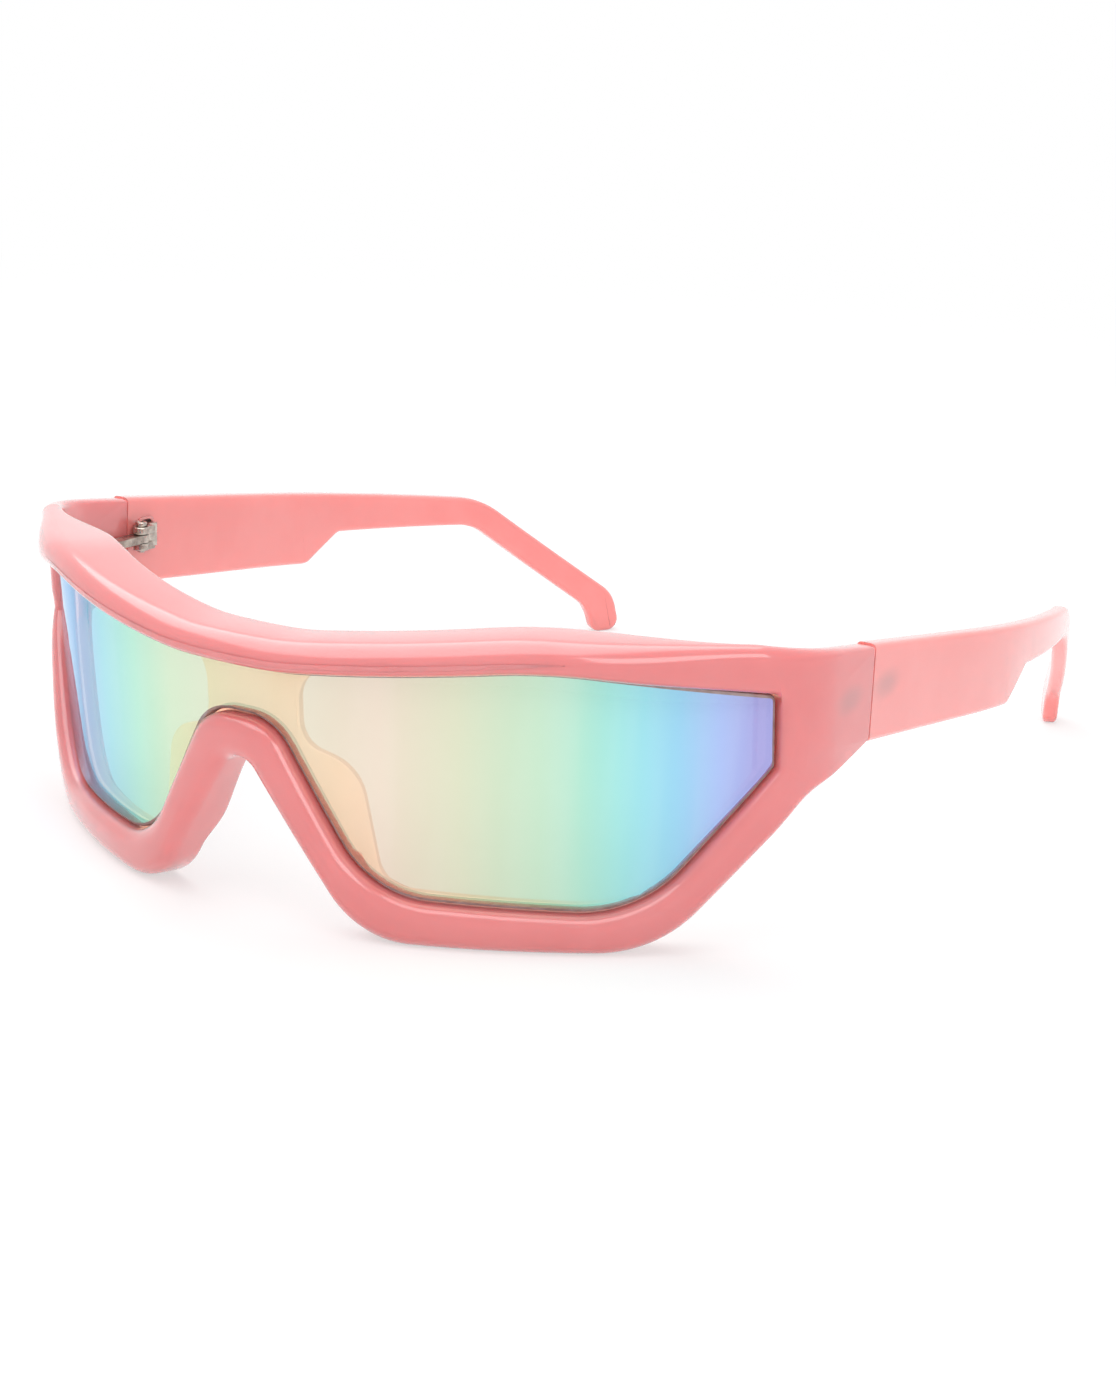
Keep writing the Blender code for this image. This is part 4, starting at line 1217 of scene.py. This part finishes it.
def add_barrel(bm: BMesh, centre: Vector, radius: float, height: float,
               edge_round: float) -> None:
    """Adds an upright barrel with rounded rims.

    Args:
        bm: The mesh that it joins.
        centre: Its middle.
        radius: Its radius.
        height: Its height.
        edge_round: How far its rims are rounded.
    """
    verts = bmesh.ops.create_cone(
        bm, cap_ends=True, segments=ROUND_SEGMENTS, radius1=radius, radius2=radius, depth=height,
    )["verts"]
    bmesh.ops.translate(bm, vec=centre, verts=verts)
    edges = {edge for vert in verts for edge in vert.link_edges}
    level = [edge for edge in edges if abs(edge.verts[0].co.z - edge.verts[1].co.z) < TINY]
    bevelled(bm, level, edge_round)


@dataclass(frozen=True)
class Hinge:
    """One steel hinge: a ribbed leaf, two ears and a cross-slot screw, with a plastic lip round its block and
    a dark sheet inside the lip as painted shade of the pocket.
    """

    bow: TempleBow
    steel: Material
    bright: Material
    shadow: Material
    plastic: Material
    wall: float = TEMPLE_ROOT
    axis_across: float = 65.2 * MM
    axis_back: float = HINGE_BEHIND_SEAM
    level: float = HINGE_LEVEL
    leaf_height: float = 1.3 * MM
    ear_height: float = 1.2 * MM
    gap: float = 0.1 * MM
    barrel_radius: float = 1.3 * MM
    leaf_half: float = 1.1 * MM
    past_axis: float = 1.0 * MM
    root_depth: float = 1.5 * MM
    front_block: Place = (-9.4 * MM, -6.4 * MM)
    temple_block: Place = (3.3 * MM, 5.9 * MM)
    overlap: float = 0.8 * MM
    edge_round: float = 0.16 * MM
    cap_round: float = 0.7 * MM
    ribs: int = 22
    rib_depth: float = 0.09 * MM
    screw_radius: float = 0.6 * MM
    head_radius: float = 0.95 * MM
    head_height: float = 0.7 * MM
    slot_reach: float = 0.68 * MM
    slot_half: float = 0.15 * MM
    slot_depth: float = 0.35 * MM
    screw_end: float = 0.4 * MM
    head_round: float = 0.12 * MM
    least_fold: float = 1.0
    pocket_round: float = 0.6 * MM
    floor_rise: float = 0.03 * MM
    ring_room: float = 0.45 * MM
    ring_width: float = 0.5 * MM
    ring_proud: float = 0.32 * MM
    ring_rims: Rims = Rims(0.15 * MM, 3)

    def inside(self) -> float:
        """Distance from the middle plane to the inner face of the lug and of the temple's root."""
        return self.bow.outside - self.wall

    def ears(self) -> list[Place]:
        """Lower and upper height of both ears."""
        start = 0.5 * self.leaf_height + self.gap
        end = start + self.ear_height
        return [(self.level - end, self.level - start), (self.level + start, self.level + end)]

    def span(self) -> Place:
        """Lowest and highest height of the hinge's two halves."""
        return self.ears()[0][0], self.ears()[1][1]

    def axis(self, height: float) -> Vector:
        """A point on the hinge's axis."""
        return Vector((self.axis_across, self.axis_back, height))

    def ribbed_edge(self, sign: float) -> list[Vector]:
        """One long edge of the leaf with its ribs, outer or inner by the sign, from block to axis."""
        start = self.front_block[1] - self.overlap
        length = self.axis_back - self.front_block[1] + self.overlap
        bottom = self.level - 0.5 * self.leaf_height
        points = []
        for rib in range(2 * self.ribs + 1):
            across = self.leaf_half - (self.rib_depth if rib % 2 else 0.0)
            back = start + length * rib / (2 * self.ribs)
            points.append(Vector((self.axis_across + sign * across, back, bottom)))
        return points

    def leaf(self) -> BMesh:
        """The half on the front: a rounded block, a ribbed leaf and the middle knuckle."""
        bm = bmesh.new()
        start, end = self.front_block
        low, high = self.span()
        proud = self.axis_across - self.past_axis
        add_block(bm, (proud, start, low), (self.inside() + self.root_depth, end, high), self.cap_round)
        outline = draw_loop(bm, self.ribbed_edge(1.0) + self.ribbed_edge(-1.0)[::-1])
        face = bmesh.ops.contextual_create(bm, geom=outline)["faces"]
        thickened(bm, face, (0.0, 0.0, self.leaf_height))
        add_barrel(bm, self.axis(self.level), self.barrel_radius, self.leaf_height, 0.5 * self.edge_round)
        return bm

    def ear_plates(self) -> BMesh:
        """The half on the temple: a block let into it, with an ear above and below the leaf."""
        bm = bmesh.new()
        start, end = self.temple_block
        bottom, top = self.span()
        back_face = self.inside() + self.root_depth
        add_block(bm, (self.axis_across, start, bottom), (back_face, end, top), self.edge_round)
        for low, high in self.ears():
            add_block(
                bm, (self.axis_across - self.leaf_half, self.axis_back, low),
                (self.axis_across + self.leaf_half, start + self.overlap, high), self.edge_round,
            )
            add_barrel(bm, self.axis(0.5 * (low + high)), self.barrel_radius, high - low, self.edge_round)
        return bm

    def head_outlines(self, top: float) -> tuple[list[Vector], list[Vector]]:
        """The round rim of the screw's head and the cross slot in it, at the head's top."""
        circle = []
        for step in range(ROUND_SEGMENTS):
            angle = 2.0 * math.pi * step / ROUND_SEGMENTS
            circle.append(Vector((self.head_radius * math.cos(angle), self.head_radius * math.sin(angle))))
        half = self.slot_half
        cross = []
        for quarter in range(4):
            for place in ((self.slot_reach, -half), (self.slot_reach, half), (half, half)):
                cross.append(turned(Vector(place), 0.5 * math.pi * quarter))
        return [Vector((*spot, top)) for spot in circle], [Vector((*spot, top)) for spot in cross]

    def screw(self) -> BMesh:
        """The hinge screw, which has a cross slot in its head."""
        bm = bmesh.new()
        low, high = self.span()
        top = high + self.gap + self.head_height
        rim, slot = (draw_loop(bm, outline) for outline in self.head_outlines(top))
        bmesh.ops.triangle_fill(bm, use_beauty=True, edges=rim + slot)
        bmesh.ops.contextual_create(bm, geom=self.drawn_down(bm, slot, self.slot_depth))
        waist = self.drawn_down(bm, rim, self.head_height)
        under = self.drawn_down(bm, waist, 0.0)
        shank = list({vert for edge in under for vert in edge.verts})
        share = self.screw_radius / self.head_radius
        bmesh.ops.scale(bm, vec=(share, share, 1.0), verts=shank)
        end = self.drawn_down(bm, under, top - self.head_height - low + self.screw_end)
        bmesh.ops.contextual_create(bm, geom=end)
        folds = [
            edge for edge in bm.edges
            if len(edge.link_faces) == 2 and edge.calc_face_angle(0.0) > self.least_fold
        ]
        outer = [edge for edge in folds if edge.verts[0].co.to_2d().length > self.screw_radius - TINY]
        bevelled(bm, outer, self.head_round)
        bmesh.ops.translate(bm, vec=(self.axis_across, self.axis_back, 0.0), verts=bm.verts)
        return bm

    @staticmethod
    def drawn_down(bm: BMesh, edges: list, depth: float) -> list:
        """Extrudes a line of edges downwards and returns the new line."""
        grown = bmesh.ops.extrude_edge_only(bm, edges=edges)["geom"]
        verts = only(BMVert, grown)
        bmesh.ops.translate(bm, vec=(0.0, 0.0, -depth), verts=verts)
        lines = only(BMEdge, grown)
        return [line for line in lines if set(line.verts) <= set(verts)]

    def pocket_outline(self, room: float) -> list[Place]:
        """Outline round the temple's block with some room, as (along, height)."""
        start, end = self.temple_block[0] - room, self.temple_block[1] + room
        low, high = self.span()[0] - room, self.span()[1] + room
        corners = [(start, low), (end, low), (end, high), (start, high)]
        return rounded([(corner, self.pocket_round + room, 8) for corner in corners])

    def pocket_lip(self) -> BMesh:
        """The plastic lip round the temple's block; the pocket inside it is painted shade."""
        rooms = (self.ring_room + self.ring_width, self.ring_room)
        outlines = [self.pocket_outline(room) for room in rooms]
        near, far = self.wall - self.ring_proud, self.wall + self.ring_proud
        return flat_piece(outlines, near, far, self.ring_width, self.ring_rims)

    def pocket_floor(self) -> BMesh:
        """A dark sheet inside the lip, just proud of the temple's inner face: painted shade where the pocket
        would be.
        """
        outline = self.pocket_outline(self.ring_room + 0.5 * self.ring_width)
        near, far = self.wall - self.ring_proud, self.wall + self.floor_rise
        return flat_piece([outline], near, far, self.ring_width)

    def build(self, side: Side) -> None:
        """Builds and dresses one hinge, with the plastic lip round it and the dark sheet of painted pocket
        shade.
        """
        word = side.word
        temple = "temple_" + word
        rows = [
            ("hinge_leaf_", self.leaf(), "front_hinge_" + word, "front", "hinge_steel", self.steel),
            ("hinge_ears_", self.ear_plates(), "temple_hinge_" + word, temple, "hinge_steel", self.steel),
            ("cross_screw_", self.screw(), "hinge_screw_" + word, temple, "screw_steel", self.bright),
        ]
        for name, bm, node, body, slot, material in rows:
            bmesh.ops.translate(bm, vec=(0.0, self.bow.seam_back, 0.0), verts=bm.verts)
            place_piece(finished(name + word, on_side(bm, side)), node, body, [material])
        # Inside the lip a dark sheet stands for the pocket: painted shade, as the temple has no pocket cut in
        # it.
        pocket = [
            ("pocket_lip_", self.pocket_lip(), self.plastic),
            ("pocket_floor_", self.pocket_floor(), self.shadow),
        ]
        for name, bm, material in pocket:
            piece = finished(name + word, moved_to(bm, self.bow.point, side))
            place_piece(piece, temple, temple, [material])


@dataclass(frozen=True)
class Studio:
    """Pale floor, soft lamps, a white surround and the camera."""

    camera_place: Vector = field(default_factory=lambda: Vector((254.896, -412.713, 152.272)) * MM)
    azimuth: float = math.radians(31.8712)
    elevation: float = math.radians(15.9328)
    roll: float = math.radians(2.6444)
    focal_pixels: float = 3092.146
    picture_pixels: float = 1400.0
    sensor: float = 36.0
    nearest: float = 0.01
    floor_half: float = 3.0
    floor_colour: Colour = linear(250, 249, 249)
    least_white: float = 0.6
    clear_radius: float = 0.15
    fade_radius: float = 0.6
    surround: float = 0.38
    aim: Vector = field(default_factory=lambda: Vector((0.0, 0.0, 0.02)))

    def camera(self) -> None:
        """The camera at the photograph's viewing angle, with its sensor along the picture's longer side."""
        back = Vector((
            math.sin(self.azimuth) * math.cos(self.elevation),
            -math.cos(self.azimuth) * math.cos(self.elevation),
            math.sin(self.elevation),
        ))
        level = Vector((0.0, 0.0, 1.0)).cross(back).normalized()
        upright = back.cross(level)
        right = math.cos(self.roll) * level + math.sin(self.roll) * upright
        up = math.cos(self.roll) * upright - math.sin(self.roll) * level
        data = bpy.data.cameras.new("camera")
        data.sensor_fit = "AUTO"
        data.sensor_width = self.sensor
        data.lens = self.sensor * self.focal_pixels / self.picture_pixels
        data.clip_start = self.nearest
        camera = bpy.data.objects.new("camera", data)
        turn = Matrix((right, up, back)).transposed().to_4x4()
        camera.matrix_world = Matrix.Translation(self.camera_place) @ turn
        bpy.context.scene.collection.objects.link(camera)
        bpy.context.scene.camera = camera

    def seen_directly(self, sheet: NodeSheet) -> Shade:
        """Tells rays from the camera, a mirror or glass from those that light the scene."""
        path = sheet.node("ShaderNodeLightPath", result="Is Camera Ray")
        return path.highest(path.output("Is Glossy Ray")).highest(path.output("Is Transmission Ray"))

    def world(self) -> None:
        """White to the eye, dimmer as a light."""
        world = bpy.data.worlds.new("surround")
        world.use_nodes = True
        sheet = NodeSheet(world.node_tree)
        strength = self.surround + (1.0 - self.surround) * self.seen_directly(sheet)
        values = {"Color": (*WHITE, 1.0), "Strength": strength}
        light = sheet.node("ShaderNodeBackground", values=values)
        sheet.node("ShaderNodeOutputWorld", values={"Surface": light})
        bpy.context.scene.world = world

    def floor(self) -> None:
        """A wide pale floor that keeps the object's shadow and turns white further out."""
        bm = bmesh.new()
        bmesh.ops.create_grid(bm, x_segments=1, y_segments=1, size=self.floor_half)
        obj = finished("floor", bm)
        material, sheet = blank_material("floor_paper")
        place = {0: sheet.object_place()}
        middle = sheet.node("ShaderNodeVectorMath", {"operation": "LENGTH"}, place, "Value")
        away = sheet.between(middle, self.clear_radius, self.fade_radius, self.least_white, 1.0)
        paper = sheet.node("ShaderNodeBsdfDiffuse", values={"Color": (*self.floor_colour, 1.0)})
        white = sheet.node("ShaderNodeEmission", values={"Color": (*WHITE, 1.0), "Strength": 1.0})
        share = away * self.seen_directly(sheet)
        sheet.surface(sheet.node("ShaderNodeMixShader", values={0: share, 1: paper, 2: white}))
        obj.data.materials.append(material)

    def lamp(self, name: str, place: Vector, width: float, height: float, power: float) -> None:
        """Adds one soft rectangular lamp that points at the object.

        Args:
            name: The lamp's name.
            place: Where it hangs.
            width: Its width.
            height: Its height.
            power: Its power in watts.
        """
        data = bpy.data.lights.new(name, "AREA")
        data.shape = "RECTANGLE"
        data.size = width
        data.size_y = height
        data.energy = power
        lamp = bpy.data.objects.new(name, data)
        lamp.location = place
        lamp.rotation_euler = (self.aim - place).to_track_quat("-Z", "Y").to_euler()
        bpy.context.scene.collection.objects.link(lamp)

    def build(self) -> None:
        """Sets up the whole studio."""
        bpy.context.scene.view_settings.view_transform = "Standard"
        self.camera()
        self.world()
        self.floor()
        self.lamp("top_softbox", Vector((-0.2, -0.1, 0.9)), width=1.8, height=1.2, power=13.8)
        self.lamp("side_softbox", Vector((0.95, -0.45, 0.5)), width=0.6, height=0.6, power=3.0)


def main() -> None:
    """Builds the sunglasses and the studio."""
    logging.basicConfig(level=logging.INFO, format="%(name)s: %(message)s")
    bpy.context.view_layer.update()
    seam_back = frame["joints"][0]["pos_m"][1] - HINGE_BEHIND_SEAM
    metal = [Vector((METAL_ACROSS, seam_back + behind, HINGE_LEVEL)) for behind in METAL_BEHIND_SEAM]
    plastic = TranslucentPlastic().make(metal)
    # The temples take a copy of the plastic painted lighter: painted light for the light that shows through
    # the thin temples. The pocket lips use it too.
    thin_painted_lighter = TranslucentPlastic("pink_plastic_thin", linear(245, 142, 138), linear(243, 136, 132))
    temple_plastic = thin_painted_lighter.make(metal)
    front = FrontFrame(PlanCurve(seam_back))
    front.build(plastic)
    ShieldLens(front).build()
    bow = TempleBow(seam_back)
    steel = HingeSteel("hinge_steel").make()
    bright = HingeSteel("screw_steel", roughness=0.14, line_scale=2500.0).make()
    # The pocket's shade is painted: a dark steel material for the sheet inside each lip.
    shadow = HingeSteel("pocket_shadow", linear(92, 66, 64), linear(70, 50, 50), 0.5).make()
    hinge = Hinge(bow, steel, bright, shadow, temple_plastic)
    for side in Side:
        Temple(bow).build(side, temple_plastic)
        hinge.build(side)
    Studio().build()


if __name__ == "__main__":
    main()
